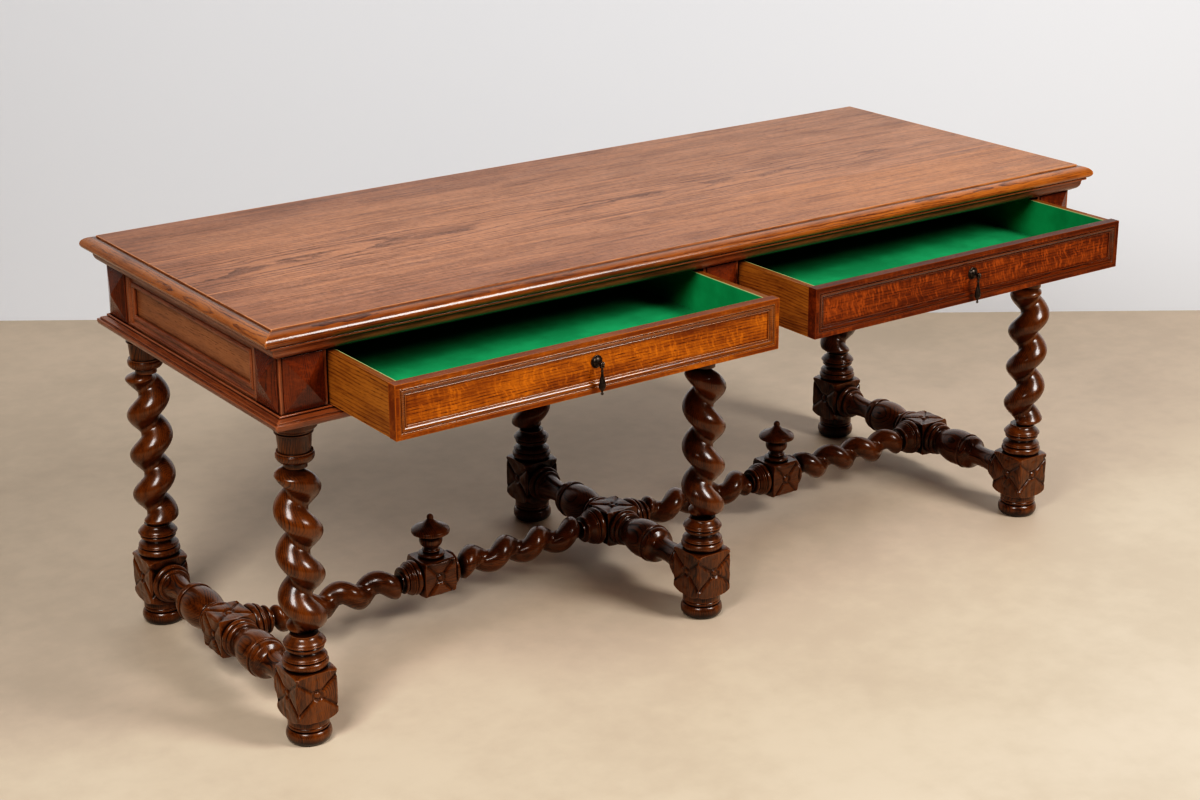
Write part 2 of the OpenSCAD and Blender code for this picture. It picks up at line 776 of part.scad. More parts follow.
// A runner under each drawer side, with a guide beside it between the posts
module drawer_runners() {
    y0 = -frieze_y + rail_d;
    y1 = frieze_y - panel_recess - panel_t;
    guide_y = frieze_y - post_w;
    panel_x = frieze_x - panel_recess - panel_t;
    color(case_tone)
        at_table()
            for (s = [0, 1])
                mirror([s, 0, 0]) {
                    slab(open_x0, open_x0 + runner_w, y0, y1, carcase_z, frieze_z);
                    slab(partition_t / 2, open_x0, -guide_y, guide_y, carcase_z, frieze_z + guide_h);
                    slab(open_x1 - runner_w, open_x1, y0, y1, carcase_z, frieze_z);
                    slab(open_x1, panel_x, -guide_y, guide_y, carcase_z, frieze_z + guide_h);
                }
}

module leg_at(x, y, hand, start) {
    color(leg_tone)
        at_table()
            translate([x, y, 0])
                leg(hand, start);
}

module cross_stretcher_at(x) {
    color(leg_tone)
        at_table()
            translate([x, 0, 0])
                cross_stretcher();
}

module long_stretcher_at(x, hand_1, start_1, hand_2, start_2) {
    color(leg_tone)
        at_table()
            translate([x + cross_block_w / 2, 0, stretcher_z])
                rotate([0, 90, 0])
                    long_stretcher(hand_1, start_1, hand_2, start_2);
}

module finials() {
    color(leg_tone)
        at_table()
            for (s = [-1, 1])
                translate([s * leg_x / 2, 0, stretcher_z + finial_block_w / 2])
                    finial();
}

// The drawer on side s, with its front face at the origin's y and its middle at x = 0
module at_drawer(s) {
    at_table()
        translate([s * drawer_x, drawer_face_y, 0])
            children();
}

module drawer_front(s) {
    z0 = frieze_z + drawer_gap;
    color(front_tone)
        at_drawer(s)
            difference() {
                slab(-front_w / 2, front_w / 2, 0, front_t, z0, z0 + front_h);
                slab(
                    -front_w / 2 + border_w, front_w / 2 - border_w, -field_d, field_d,
                    z0 + border_w, z0 + front_h - border_w
                );
                slab(-bay_w / 2, bay_w / 2, front_t - groove_d, front_t + groove_d, bottom_z, bottom_z + bottom_t);
            }
}

module front_moulding(s) {
    color(front_tone)
        at_drawer(s)
            translate([0, field_d, frieze_z + drawer_gap + front_h / 2])
                rotate([90, 0, 0])
                    panel_frame(front_w - 2 * border_w, front_h - 2 * border_w, bolection_w)
                        bolection_section();
}

module drawer_sides(s) {
    color(case_tone)
        at_drawer(s)
            for (m = [0, 1])
                mirror([m, 0, 0])
                    difference() {
                        slab(bay_w / 2, drawer_box_w / 2, front_t, drawer_l, side_z, side_z + side_h);
                        slab(
                            0, bay_w / 2 + groove_d, 0, drawer_l - back_t,
                            bottom_z, bottom_z + bottom_t
                        );
                    }
}

module drawer_back(s) {
    color(case_tone)
        at_drawer(s)
            slab(-bay_w / 2, bay_w / 2, drawer_l - back_t, drawer_l, side_z, side_z + side_h);
}

module drawer_bottom(s) {
    color(case_tone)
        at_drawer(s) {
            slab(
                -bay_w / 2 - groove_d, bay_w / 2 + groove_d, front_t, drawer_l - back_t,
                bottom_z, bottom_z + bottom_t
            );
            slab(-bay_w / 2, bay_w / 2, front_t - groove_d, front_t, bottom_z, bottom_z + bottom_t);
        }
}

module drawer_lining(s) {
    z0 = bottom_z + bottom_t;
    z1 = side_z + side_h;
    color(felt_tone)
        at_drawer(s)
            difference() {
                slab(-bay_w / 2, bay_w / 2, front_t, drawer_l - back_t, z0, z1);
                slab(
                    -bay_w / 2 + felt_t, bay_w / 2 - felt_t, front_t + felt_t, drawer_l - back_t - felt_t,
                    z0 + felt_t, z1 + felt_t
                );
            }
}

// Rosette, stem and bored eye, along -Y from the sunk field
module pull_rosette(s) {
    stem_l = pin_out - cheek_r - cheek_gap;
    color(bronze_tone)
        at_table()
            translate([s * drawer_x, field_y, pin_z])
                difference() {
                    union() {
                        rotate([90, 0, 0])
                            turned(concat(
                                [[0, 0], [rosette_r, 0], [rosette_r, rosette_h * 0.2]],
                                arc(0, rosette_h * 0.2, rosette_r * 0.88, rosette_h * 0.8, 0, 70),
                                [[stem_r, rosette_h], [stem_r, stem_l], [0, stem_l]]
                            ));
                        translate([-eye_t / 2, -pin_out, 0])
                            rotate([0, 90, 0])
                                cylinder(eye_t, r = eye_r, $fn = dome_fn);
                    }
                    translate([-eye_t, -pin_out, 0])
                        rotate([0, 90, 0])
                            cylinder(2 * eye_t, r = pin_r + pin_gap, $fn = dome_fn);
                }
}

// Drop with two cheeks and a pin through the eye, hanging straight down
module pull_drop(s) {
    fork_w = eye_t + 2 * cheek_gap + 2 * cheek_t;
    fork_z = -eye_r - cheek_gap;
    color(bronze_tone)
        at_table()
            translate([s * drawer_x, pin_y, pin_z]) {
                translate([-fork_w / 2, 0, 0])
                    rotate([0, 90, 0])
                        cylinder(fork_w, r = pin_r, $fn = dome_fn);
                for (m = [0, 1])
                    mirror([m, 0, 0])
                        translate([eye_t / 2 + cheek_gap, 0, 0]) {
                            rotate([0, 90, 0])
                                cylinder(cheek_t, r = cheek_r, $fn = dome_fn);
                            slab(0, cheek_t, -cheek_r * 0.7, cheek_r * 0.7, fork_z - cheek_t, 0);
                        }
                slab(-fork_w / 2, fork_w / 2, -cheek_r * 0.7, cheek_r * 0.7, fork_z - cheek_t, fork_z);
                translate([0, 0, -drop_l])
                    turned(concat(
                        [[0, 0]],
                        arc(0, drop_ball_r, drop_ball_r, drop_ball_r, -80, 60),
                        [[drop_ball_r * 0.6, drop_ball_r * 2]],
                        ogee(drop_ball_r * 0.7, drop_ball_r * 2, drop_r, drop_l * 0.24),
                        ogee(drop_r, drop_l * 0.28, drop_r * 0.4, drop_l * 0.74),
                        [[drop_r * 0.4, drop_l + fork_z - cheek_t / 2], [0, drop_l + fork_z - cheek_t / 2]]
                    ));
            }
}

top_board(0);  // top_board_front
top_board(1);  // top_board_middle
top_board(2);  // top_board_back
top_edge(0);  // top_edge_front
top_edge(1);  // top_edge_right
top_edge(2);  // top_edge_back
top_edge(3);  // top_edge_left
cornice(0);  // cornice_front
cornice(1);  // cornice_right
cornice(2);  // cornice_back
cornice(3);  // cornice_left
post(-leg_x, -leg_y, post_w);  // corner_post_fl
post(leg_x, -leg_y, post_w);  // corner_post_fr
post(-leg_x, leg_y, post_w);  // corner_post_bl
post(leg_x, leg_y, post_w);  // corner_post_br
post(0, -leg_y, centre_post_w);  // centre_post_front
post(0, leg_y, centre_post_w);  // centre_post_back
diamond_bosses();
end_panel(-1);  // end_panel_left
end_panel(1);  // end_panel_right
end_mouldings();
back_panels();
back_mouldings();
upper_rail();
lower_rail();
base_moulding(0);  // base_moulding_front
base_moulding(1);  // base_moulding_right
base_moulding(2);  // base_moulding_back
base_moulding(3);  // base_moulding_left
centre_partition();
drawer_runners();
leg_at(-leg_x, -leg_y, -1, 96);  // leg_fl
leg_at(leg_x, -leg_y, -1, -121);  // leg_fr
leg_at(-leg_x, leg_y, -1, -134);  // leg_bl
leg_at(leg_x, leg_y, -1, -117);  // leg_br
leg_at(0, -leg_y, -1, 73);  // leg_mf
leg_at(0, leg_y, -1, 42);  // leg_mb
cross_stretcher_at(-leg_x);  // cross_stretcher_left
cross_stretcher_at(0);  // cross_stretcher_middle
cross_stretcher_at(leg_x);  // cross_stretcher_right
long_stretcher_at(-leg_x, 1, 221, -1, 333);  // long_stretcher_left
long_stretcher_at(0, -1, 165, 1, 76);  // long_stretcher_right
finials();
drawer_front(-1);  // left_drawer_front
front_moulding(-1);  // left_front_moulding
drawer_sides(-1);  // left_drawer_sides
drawer_back(-1);  // left_drawer_back
drawer_bottom(-1);  // left_drawer_bottom
drawer_lining(-1);  // left_drawer_lining
pull_rosette(-1);  // left_pull_rosette
pull_drop(-1);  // left_pull_drop
drawer_front(1);  // right_drawer_front
front_moulding(1);  // right_front_moulding
drawer_sides(1);  // right_drawer_sides
drawer_back(1);  // right_drawer_back
drawer_bottom(1);  // right_drawer_bottom
drawer_lining(1);  // right_drawer_lining
pull_rosette(1);  // right_pull_rosette
pull_drop(1);  // right_pull_drop
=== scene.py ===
import json
import math

import bmesh
import bpy
import numpy as np
from bpy.props import FloatProperty, FloatVectorProperty, IntProperty, PointerProperty
from bpy.types import Operator, Panel, PropertyGroup
from mathutils import Matrix, Vector


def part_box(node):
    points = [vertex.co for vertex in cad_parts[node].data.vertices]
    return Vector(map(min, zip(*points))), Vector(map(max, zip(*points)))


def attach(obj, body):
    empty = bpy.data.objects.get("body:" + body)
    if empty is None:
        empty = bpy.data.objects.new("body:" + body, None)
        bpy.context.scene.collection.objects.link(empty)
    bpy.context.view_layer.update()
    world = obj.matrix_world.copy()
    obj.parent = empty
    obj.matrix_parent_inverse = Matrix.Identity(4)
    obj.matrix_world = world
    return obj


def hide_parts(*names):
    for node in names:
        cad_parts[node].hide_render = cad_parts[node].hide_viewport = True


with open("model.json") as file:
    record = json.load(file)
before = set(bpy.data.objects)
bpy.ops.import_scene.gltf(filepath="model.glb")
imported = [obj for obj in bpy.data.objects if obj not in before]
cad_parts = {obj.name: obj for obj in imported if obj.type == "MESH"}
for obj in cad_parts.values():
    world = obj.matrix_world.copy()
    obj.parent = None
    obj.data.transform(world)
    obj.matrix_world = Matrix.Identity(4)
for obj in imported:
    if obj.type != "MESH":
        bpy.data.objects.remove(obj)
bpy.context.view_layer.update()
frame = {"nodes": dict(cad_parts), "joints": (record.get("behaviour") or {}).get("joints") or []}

bl_info = {
    "name": "Library Table",
    "version": (1, 0, 0),
    "blender": (4, 5, 0),
    "location": "View3D > Sidebar > Library Table",
    "description": "Turned, carved and finished pieces of an oak library table with barley-twist legs",
    "category": "Object",
}

NODES = frame["nodes"]
MM = 1000.0


def middle(node):
    """Middle of a node's box, in millimetres."""
    lo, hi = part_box(node)
    return (lo + hi) / 2 * MM


def span(node, axis):
    """Lowest and highest reach of a node along an axis, in millimetres."""
    lo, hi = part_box(node)
    return lo[axis] * MM, hi[axis] * MM


# The middle of the table, the axes of its legs and the underside of its carcase, from the frame
TABLE_Y = middle("top_board_middle").y
LEG_X = middle("corner_post_fr").x
LEG_Y = TABLE_Y - middle("corner_post_fr").y
CARCASE_Z = span("corner_post_fr", 2)[0]
# Heights of the table, of the stretchers' axes and of the square plate on each leg, in millimetres
TABLE_H = 760
STRETCHER_Z = 90.0
PLATE_Z = 581
# Widths of that plate and of the square blocks of the legs and the stretchers
PLATE = 81.4
LEG_BLOCK = 80
CROSS_BLOCK = 72
LONG_BLOCK = 70
# One turn of the twists, and the length over which they are drawn in at their ends
TWIST_PITCH = 79.0
TWIST_EASE = 14.0
# Radius of the twists on the ridge, in the hollow and at the ends
LEG_TWIST = (41, 17.5, 20.2)
LONG_TWIST = (32, 12.5, 16.6)
# Width of the round that wear has left on the arrises of the blocks
RUBBED = 2.8
# Distance between the points of a carved face, along its width and its length
CARVED_STEP = (1.2, 1.1)
# Thickness of the felt, length of a drop, and radii of the pull's eye and of its wire
FELT = 1.5
DROP = 54.0
EYE, EYE_WIRE = 4.4, 1.1
# Distance in the wood between pieces that are next to each other in seed, along and across
SEED_APART = (311.0, 97.0)

# Size, focal length and principal point of the photograph, in its pixels
PHOTO_W, PHOTO_H = 1200, 800
FOCAL = 2195.8
PRINCIPAL = (563.97, 369.90)
SENSOR = 36
# The camera's place from the table's middle, in millimetres, and its yaw, pitch and roll in degrees
CAMERA_AT = (-2392.5, -3305.6, 1827.5)
CAMERA_TURN = (34.56, 19.13, -0.50)
# Width of the floor and the wall, height of the wall and its distance from the camera, in metres
STUDIO_W = 16
WALL_H = 6.0
WALL_AWAY = 5.72
LAMP_WHITE = (1.0, 0.99, 0.98)
# The print's contrast: the darks are deepened a little
PRINT_CURVE = ((0.015, 0.005), (0.05, 0.029), (0.15, 0.132), (0.35, 0.37), (0.65, 0.725))


def tone(label, text, value):
    """A colour of the add-on's settings."""
    return FloatVectorProperty(
        name=label, description=text, default=value, subtype="COLOR", min=0.0, max=1.0
    )


def size(label, text, value, low, high):
    """A length of the add-on's settings, in metres."""
    return FloatProperty(
        name=label, description=text, default=value, min=low, max=high, unit="LENGTH"
    )


# The sides of the table, with the axis that the grain of their mouldings follows
SIDES = {"front": "X", "back": "X", "left": "Y", "right": "Y"}
# Each part's light and dark wood
OAK = {
    "top": ("Boards of the top", (0.410, 0.166, 0.066), (0.135, 0.044, 0.015)),
    "edge": ("Mouldings round the top", (0.330, 0.108, 0.024), (0.078, 0.020, 0.006)),
    "panel": ("End and back panels", (0.310, 0.118, 0.042), (0.110, 0.036, 0.015)),
    "frieze": ("Posts, rails and mouldings", (0.250, 0.074, 0.024), (0.062, 0.015, 0.006)),
    "leg": ("Turnings", (0.142, 0.041, 0.006), (0.014, 0.0042, 0.002)),
    "left": ("Left drawer front", (0.370, 0.104, 0.006), (0.121, 0.026, 0.003)),
    "right": ("Right drawer front", (0.183, 0.039, 0.005), (0.054, 0.010, 0.002)),
    "case": ("Drawer sides", (0.327, 0.122, 0.020), (0.120, 0.034, 0.006)),
    "boss": ("Diamond bosses", (0.125, 0.025, 0.005), (0.034, 0.007, 0.003)),
}


class OakTones(PropertyGroup):
    """Colours of the stained oak"""

    __annotations__ = {
        f"{part}_{shade}": tone(f"{text}, {shade}", "Colour of the stained oak", colour)
        for part, (text, *colours) in OAK.items()
        for shade, colour in zip(("light", "dark"), colours)
    }


class TableSizes(PropertyGroup):
    """Sizes of the finer work on the table"""

    arris: size("Arris", "Width of the softened edges of the joinery", 0.0009, 0.0002, 0.003)
    carving: size("Carving", "Depth of the grooves carved in the square blocks", 0.0038, 0.001, 0.008)
    button: size("Button", "Radius of the button in the middle of a carved face", 0.0062, 0.003, 0.009)
    step: size("Step", "Distance between the points of the turned surfaces", 0.0022, 0.001, 0.006)
    around: IntProperty(
        name="Around", description="Points round a turned piece", default=96, min=32, max=192
    )
    felt: tone("Felt", "Colour of the lining of the drawers", (0.006, 0.228, 0.080))
    bronze: tone("Bronze", "Colour of the pulls", (0.060, 0.045, 0.035))
    floor: tone("Floor", "Colour of the studio floor", (0.594, 0.475, 0.353))
    wall: tone("Wall", "Colour of the studio wall", (0.763, 0.779, 0.813))


class Wire:
    """A shader socket whose operators add the nodes that work them out."""

    def __init__(self, finish, socket):
        self.finish = finish
        self.socket = socket

    def _join(self, operation, a, b):
        wide = any(
            isinstance(x, tuple) or isinstance(x, Wire) and x.socket.type == "VECTOR" for x in (a, b)
        )
        kind = "VectorMath" if wide else "Math"
        return self.finish.node(kind, {"operation": operation}, {0: a, 1: b})

    def _operator(operation, swapped=False):
        """An operator of this class, with its two sides swapped for a plain number on the left."""
        def work_out(self, other):
            pair = (other, self) if swapped else (self, other)
            return self._join(operation, *pair)
        return work_out

    __add__ = __radd__ = _operator("ADD")
    __sub__ = _operator("SUBTRACT")
    __rsub__ = _operator("SUBTRACT", swapped=True)
    __mul__ = __rmul__ = _operator("MULTIPLY")
    __truediv__ = _operator("DIVIDE")
    __pow__ = _operator("POWER")


class Finish:
    """One material, made from nodes."""

    def __init__(self, name):
        self.material = bpy.data.materials.new(name)
        self.material.use_nodes = True
        self.tree = self.material.node_tree
        self.tree.nodes.clear()

    def node(self, kind, settings, sockets, out=0):
        """Adds a node: its settings first, then the values or links of its sockets."""
        made = self.tree.nodes.new("ShaderNode" + kind)
        for key, value in settings.items():
            setattr(made, key, value)
        for key, value in sockets.items():
            socket = made.inputs[key]
            if isinstance(value, Wire):
                self.tree.links.new(value.socket, socket)
            elif socket.type == "RGBA":
                socket.default_value = (*value, 1.0)
            else:
                socket.default_value = value
        return Wire(self, made.outputs[out])

    def place(self):
        """The place on the piece, in millimetres, from the piece's own origin."""
        return self.node("TexCoord", {}, {}, out=3) * (MM, MM, MM)

    def parts(self, vector):
        """The three coordinates of a place."""
        split = self.tree.nodes.new("ShaderNodeSeparateXYZ")
        self.tree.links.new(vector.socket, split.inputs[0])
        return [Wire(self, o) for o in split.outputs]

    def point(self, x, y, z):
        return self.node("CombineXYZ", {}, {0: x, 1: y, 2: z})

    def noise(self, vector, detail=2.0, roughness=0.5):
        values = {"Vector": vector, "Scale": 1.0, "Detail": detail, "Roughness": roughness}
        return self.node("TexNoise", {}, values)

    def cloud(self, place, scale, detail, roughness=0.5):
        """Noise that is as wide in every direction."""
        return self.noise(place * (scale, scale, scale), detail, roughness)

    def work(self, operation, *values):
        """One operation on plain values."""
        return self.node("Math", {"operation": operation}, dict(enumerate(values)))

    def beyond(self, u, v, field):
        """How far a place is outside a rectangle, or inside it where that is less than 0."""
        u0, u1, v0, v1 = field
        wide = self.work("ABSOLUTE", u - (u0 + u1) / 2) - (u1 - u0) / 2
        tall = self.work("ABSOLUTE", v - (v0 + v1) / 2) - (v1 - v0) / 2
        return self.work("MAXIMUM", wide, tall)

    def outward(self):
        """Above 0.5 where the surface is bent outwards, below it in a hollow."""
        return self.node("NewGeometry", {}, {}, out=7)

    def open_air(self, reach, inside=False):
        """1 where nothing is near, within a reach in metres, outside or inside the surface."""
        settings = {"samples": 6, "inside": inside}
        return self.node("AmbientOcclusion", settings, {"Distance": reach}, out=1)

    def bump(self, strength, distance, height):
        values = {"Strength": strength, "Distance": distance, "Height": height}
        return self.node("Bump", {}, values)

    def ramp(self, value, low, high):
        """0 below low and 1 above high, with an eased rise between them."""
        values = {"Value": value, "From Min": low, "From Max": high}
        return self.node("MapRange", {"interpolation_type": "SMOOTHSTEP"}, values)

    def lay(self, share, tint, kind="MIX"):
        """Lays a share of a tint over the finish's colour so far."""
        settings = {"data_type": "RGBA", "blend_type": kind}
        self.colour = self.node("Mix", settings, {0: share, 6: self.colour, 7: tint}, out=2)

    def surface(self, sockets):
        """The shader, with the colour so far and values or links of its other sockets."""
        return self.end(self.node("BsdfPrincipled", {}, {"Base Color": self.colour, **sockets}))

    def end(self, shader):
        """The material, which ends in a shader."""
        end = self.tree.nodes.new("ShaderNodeOutputMaterial")
        self.tree.links.new(shader.socket, end.inputs["Surface"])
        return self.material


def scaled(colour, share, lift=0.0):
    """A colour made darker or lighter."""
    return tuple(min(1.0, c * share + lift) for c in colour)


def oak(name, light, dark, grain="X", seed=0.0, rings=3.6, pith=(12.0, 60.0), taper=0.0, figure=0.45,
        flecks=0.0, contrast=1.0, gloss=0.42, coat=0.25, ridges=0.0, arris=0.0, grime_and_shade=0.0, sway=1.0,
        hollow=0.0, field=None, quirk=None, top=0.0, sheen=0.14, mottle=1.5, rim=None):
    """Stained oak with growth rings, open pores and ray flecks, its grain along one axis.

    The rings are so many millimetres apart round the pith, which lies beside and under the piece.
    """
    f = Finish(name)
    x, y, z = f.parts(f.place())
    along, side, deep = {"X": (x, y, z), "Y": (y, x, z), "Z": (z, x, y)}[grain]
    sunk = deep + pith[1] + along * taper
    along = along + SEED_APART[0] * seed
    across = side - pith[0]
    side = side + SEED_APART[1] * seed

    def fibrous(lengthwise, crosswise, detail, roughness=0.5):
        """Noise drawn out along the grain."""
        return f.noise(
            f.point(along * lengthwise, side * crosswise, deep * crosswise), detail, roughness)

    drift = fibrous(0.0021, 0.006, 2.0) - 0.5
    ripple = fibrous(0.014, 0.04, 2.0) - 0.5
    across = across + drift * (95.0 * sway)
    sunk = sunk + drift * (60.0 * sway)
    radius = (across * across + sunk * sunk) ** 0.5 + ripple * 5.0
    part = f.work("FRACT", radius / rings)
    years = f.noise(f.point(radius * (0.14 / rings), along * 0.0008, 0.0), 2.0, 0.6)
    spring = f.ramp(part, 0.42, 0.0) * (0.25 + f.ramp(years, 0.35, 0.62))
    fibre = fibrous(0.03, 0.9, 3.0, 0.6)
    streak = fibrous(0.0045, 0.12, 3.0, 0.65)
    pores = f.ramp(fibrous(0.07, 0.7, 1.0), 0.54, 0.64)
    pores = pores * (0.25 + spring * 0.75)
    patch = fibrous(0.006, 0.017, 4.0, 0.62)
    grainy = (fibre - 0.5) * 0.9 + (streak - 0.5) * 1.0
    shade = spring * figure + grainy * contrast + (patch - 0.5) * mottle + 0.34
    f.colour = light
    f.lay(f.ramp(shade, 0.0, 1.0), dark)
    if flecks:
        bent = along + side * 0.22 + ripple * 22.0 + deep * 0.22
        fleck = f.noise(f.point(bent * 0.20, side * 0.045, deep * 0.045), 2.0, 0.6)
        where = f.ramp(patch, 0.68, 0.46)
        f.lay(f.ramp(fleck, 0.52, 0.64) * where * flecks, scaled(light, 1.6))
        f.lay(f.ramp(fleck, 0.44, 0.32) * (flecks * 0.7), dark)
    f.lay(pores * 0.8, scaled(dark, 0.3))
    if field:
        # Dirt and old varnish along both sides of the moulding round the field
        away = f.beyond(x, z, field)
        near = f.ramp(away, -22.0, -4.0) * f.ramp(patch + grainy * 0.3, 0.26, 0.58)
        f.lay(near * 0.85 + f.ramp(away, 4.0, 18.0) * 0.25, dark)
        ends = f.beyond(x, z, (field[0], field[1], -MM, MM))
        f.lay(f.ramp(ends, 2.0, 16.0) * 0.55, scaled(dark, 0.8))
    if rim:
        # Darker along the left and front edges, more golden towards the right front corner
        edge = f.beyond(x, y, rim) + (patch - 0.5) * 120.0
        near = f.ramp(edge, -190.0, 10.0) * f.ramp(x, 620.0, -420.0)
        f.lay(near * 0.75, (0.62, 0.50, 0.40), "MULTIPLY")
        warm = f.ramp(x, -150.0, 520.0) * f.ramp(y, rim[2] + 215.0, rim[2] + 195.0)
        f.lay(warm * 0.8, (1.16, 1.08, 0.78), "MULTIPLY")
    if top:
        # The upper edges are handled, and darker
        f.lay(f.ramp(z, top - 2.4, top - 0.6) * 0.6, dark)
    if quirk:
        # Painted shade: a dark band in the quirk between the boards of the top and the moulding round
        # them
        away = f.beyond(x, y, quirk) + (patch - 0.5) * 3.0
        f.lay(f.ramp(away, 9.0, 5.0) * 0.8, scaled(dark, 0.5))
    if ridges:
        # Rubbed on the ridges, dark in the hollows
        bent_out = f.outward()
        f.lay(f.ramp(bent_out, 0.50, 0.56) * ridges, scaled(light, 1.3))
        f.lay(f.ramp(bent_out, 0.49, 0.43) * 0.6, scaled(dark, 0.4))
    if arris:
        rubbed = f.ramp(f.open_air(0.0022, inside=True), 0.96, 0.66)
        rubbed = rubbed * f.ramp(patch + grainy * 0.4, 0.36, 0.56)
        f.lay(rubbed * arris, scaled(light, 1.55))
    # Dark wax in the crevices together with painted shade there: darker where other surfaces lie
    # within 7 mm
    if grime_and_shade:
        f.lay(f.ramp(f.open_air(0.007), 0.80, 0.30) * grime_and_shade, scaled(dark, 0.25))
    # Painted shade in the deep hollows of the turnings: darker where other surfaces lie within 35 mm
    if hollow:
        f.lay(f.ramp(f.open_air(0.035), 0.90, 0.45) * hollow, scaled(dark, 0.3))
    return f.surface({
        "Coat Roughness": 0.19, "Coat Weight": coat, "Coat IOR": 1.45, "Specular IOR Level": sheen,
        "Roughness": gloss + pores * 0.2 + (patch - 0.5) * 0.16,
        "Normal": f.bump(0.35, 0.0004, fibre * 0.5 - pores),
    })


def felt_finish(name, colour, rim):
    """Green felt with a nap, and a paler band along the top of its rim."""
    f = Finish(name)
    place = f.place()
    nap = f.cloud(place, 0.9, 4.0, 0.7)
    cloud = f.cloud(place, 0.012, 3.0, 0.6)
    f.colour = scaled(colour, 0.80)
    f.lay(f.ramp(cloud, 0.3, 0.75), scaled(colour, 1.15, 0.004))
    f.lay(f.ramp(nap, 0.35, 0.8) * 0.35, scaled(colour, 1.6, 0.01))
    f.lay(f.ramp(f.parts(place)[2], rim - 1.6, rim - 0.8), (0.34, 0.42, 0.20))
    return f.surface({
        "Roughness": 0.95, "Sheen Weight": 0.03, "Sheen Roughness": 0.5,
        "Specular IOR Level": 0.02, "Normal": f.bump(0.5, 0.0005, nap),
    })


def bronze_finish(name, colour):
    """Dark bronze, rubbed bright on its ridges."""
    f = Finish(name)
    place = f.place()
    cloud = f.cloud(place, 0.25, 3.0, 0.6)
    ridge = f.ramp(f.outward(), 0.50, 0.60)
    f.colour = scaled(colour, 0.5)
    f.lay(f.ramp(cloud, 0.35, 0.7), colour)
    f.lay(ridge * 0.5, scaled(colour, 3.0))
    bump = f.bump(0.25, 0.0003, f.cloud(place, 1.2, 3.0))
    return f.surface({"Metallic": 0.9, "Roughness": 0.28 + cloud * 0.25, "Normal": bump})


def plain_finish(name, colour, mottle, rough):
    """A plain pale studio surface with a faint mottle."""
    f = Finish(name)
    place = f.place()
    wide = f.cloud(place, 0.0016, 5.0, 0.62)
    fine = f.cloud(place, 0.02, 4.0, 0.6)
    f.colour = colour
    f.lay(f.ramp(wide * 0.75 + fine * 0.25, 0.38, 0.62) * mottle, scaled(colour, 0.62))
    return f.surface({"Roughness": rough})


def arc(r, z, a, b, t0, t1, n=14):
    """Points of an arc round (r, z) with half axes a and b, from angle t0 to t1."""
    turns = [math.radians(t0 + (t1 - t0) * i / n) for i in range(n + 1)]
    return [(r + a * math.cos(t), z + b * math.sin(t)) for t in turns]


def ogee(r0, z0, r1, z1, n=14):
    """Points of an S curve from radius r0 at z0 to radius r1 at z1."""
    return [(r0 + (r1 - r0) * (1 - math.cos(math.pi * i / n)) / 2, z0 + (z1 - z0) * i / n)
            for i in range(n + 1)]


def belly(r0, z0, r1, z1, b, n=20):
    """Points of a bellied line that swells by b in its middle."""
    return [(r0 + (r1 - r0) * i / n + b * math.sin(math.pi * i / n), z0 + (z1 - z0) * i / n)
            for i in range(n + 1)]


def ring(r, z0, z1, n=16):
    """A half-round ring from z0 to z1, whose greatest radius is r."""
    half = (z1 - z0) / 2
    return arc(r - half, (z0 + z1) / 2, half, half, -90, 90, n)


def softened(points, reach=0.7):
    """Cuts each sharp corner of a profile into a small curve."""
    clean = [points[0]]
    for p in points[1:]:
        if math.dist(p, clean[-1]) > 0.02:
            clean.append(p)
    made = [clean[0]]
    for a, b, c in zip(clean, clean[1:], clean[2:]):
        u = Vector((b[0] - a[0], b[1] - a[1]))
        w = Vector((c[0] - b[0], c[1] - b[1]))
        if u.angle(w) < math.radians(24):
            made.append(b)
            continue
        s = Vector(b) - min(reach, u.length * 0.4) * u.normalized()
        e = Vector(b) + min(reach, w.length * 0.4) * w.normalized()
        m = (s + e) * 0.25 + Vector(b) * 0.5
        made += [tuple(s), tuple(m), tuple(e)]
    made.append(clean[-1])
    return made


def circle(r, angle, z):
    """Points at angles round the axis, at one height."""
    return np.stack([r * np.cos(angle), r * np.sin(angle), np.full(len(angle), z)], 1)


def added(name, data):
    """A new object of the scene."""
    made = bpy.data.objects.new(name, data)
    bpy.context.scene.collection.objects.link(made)
    return made


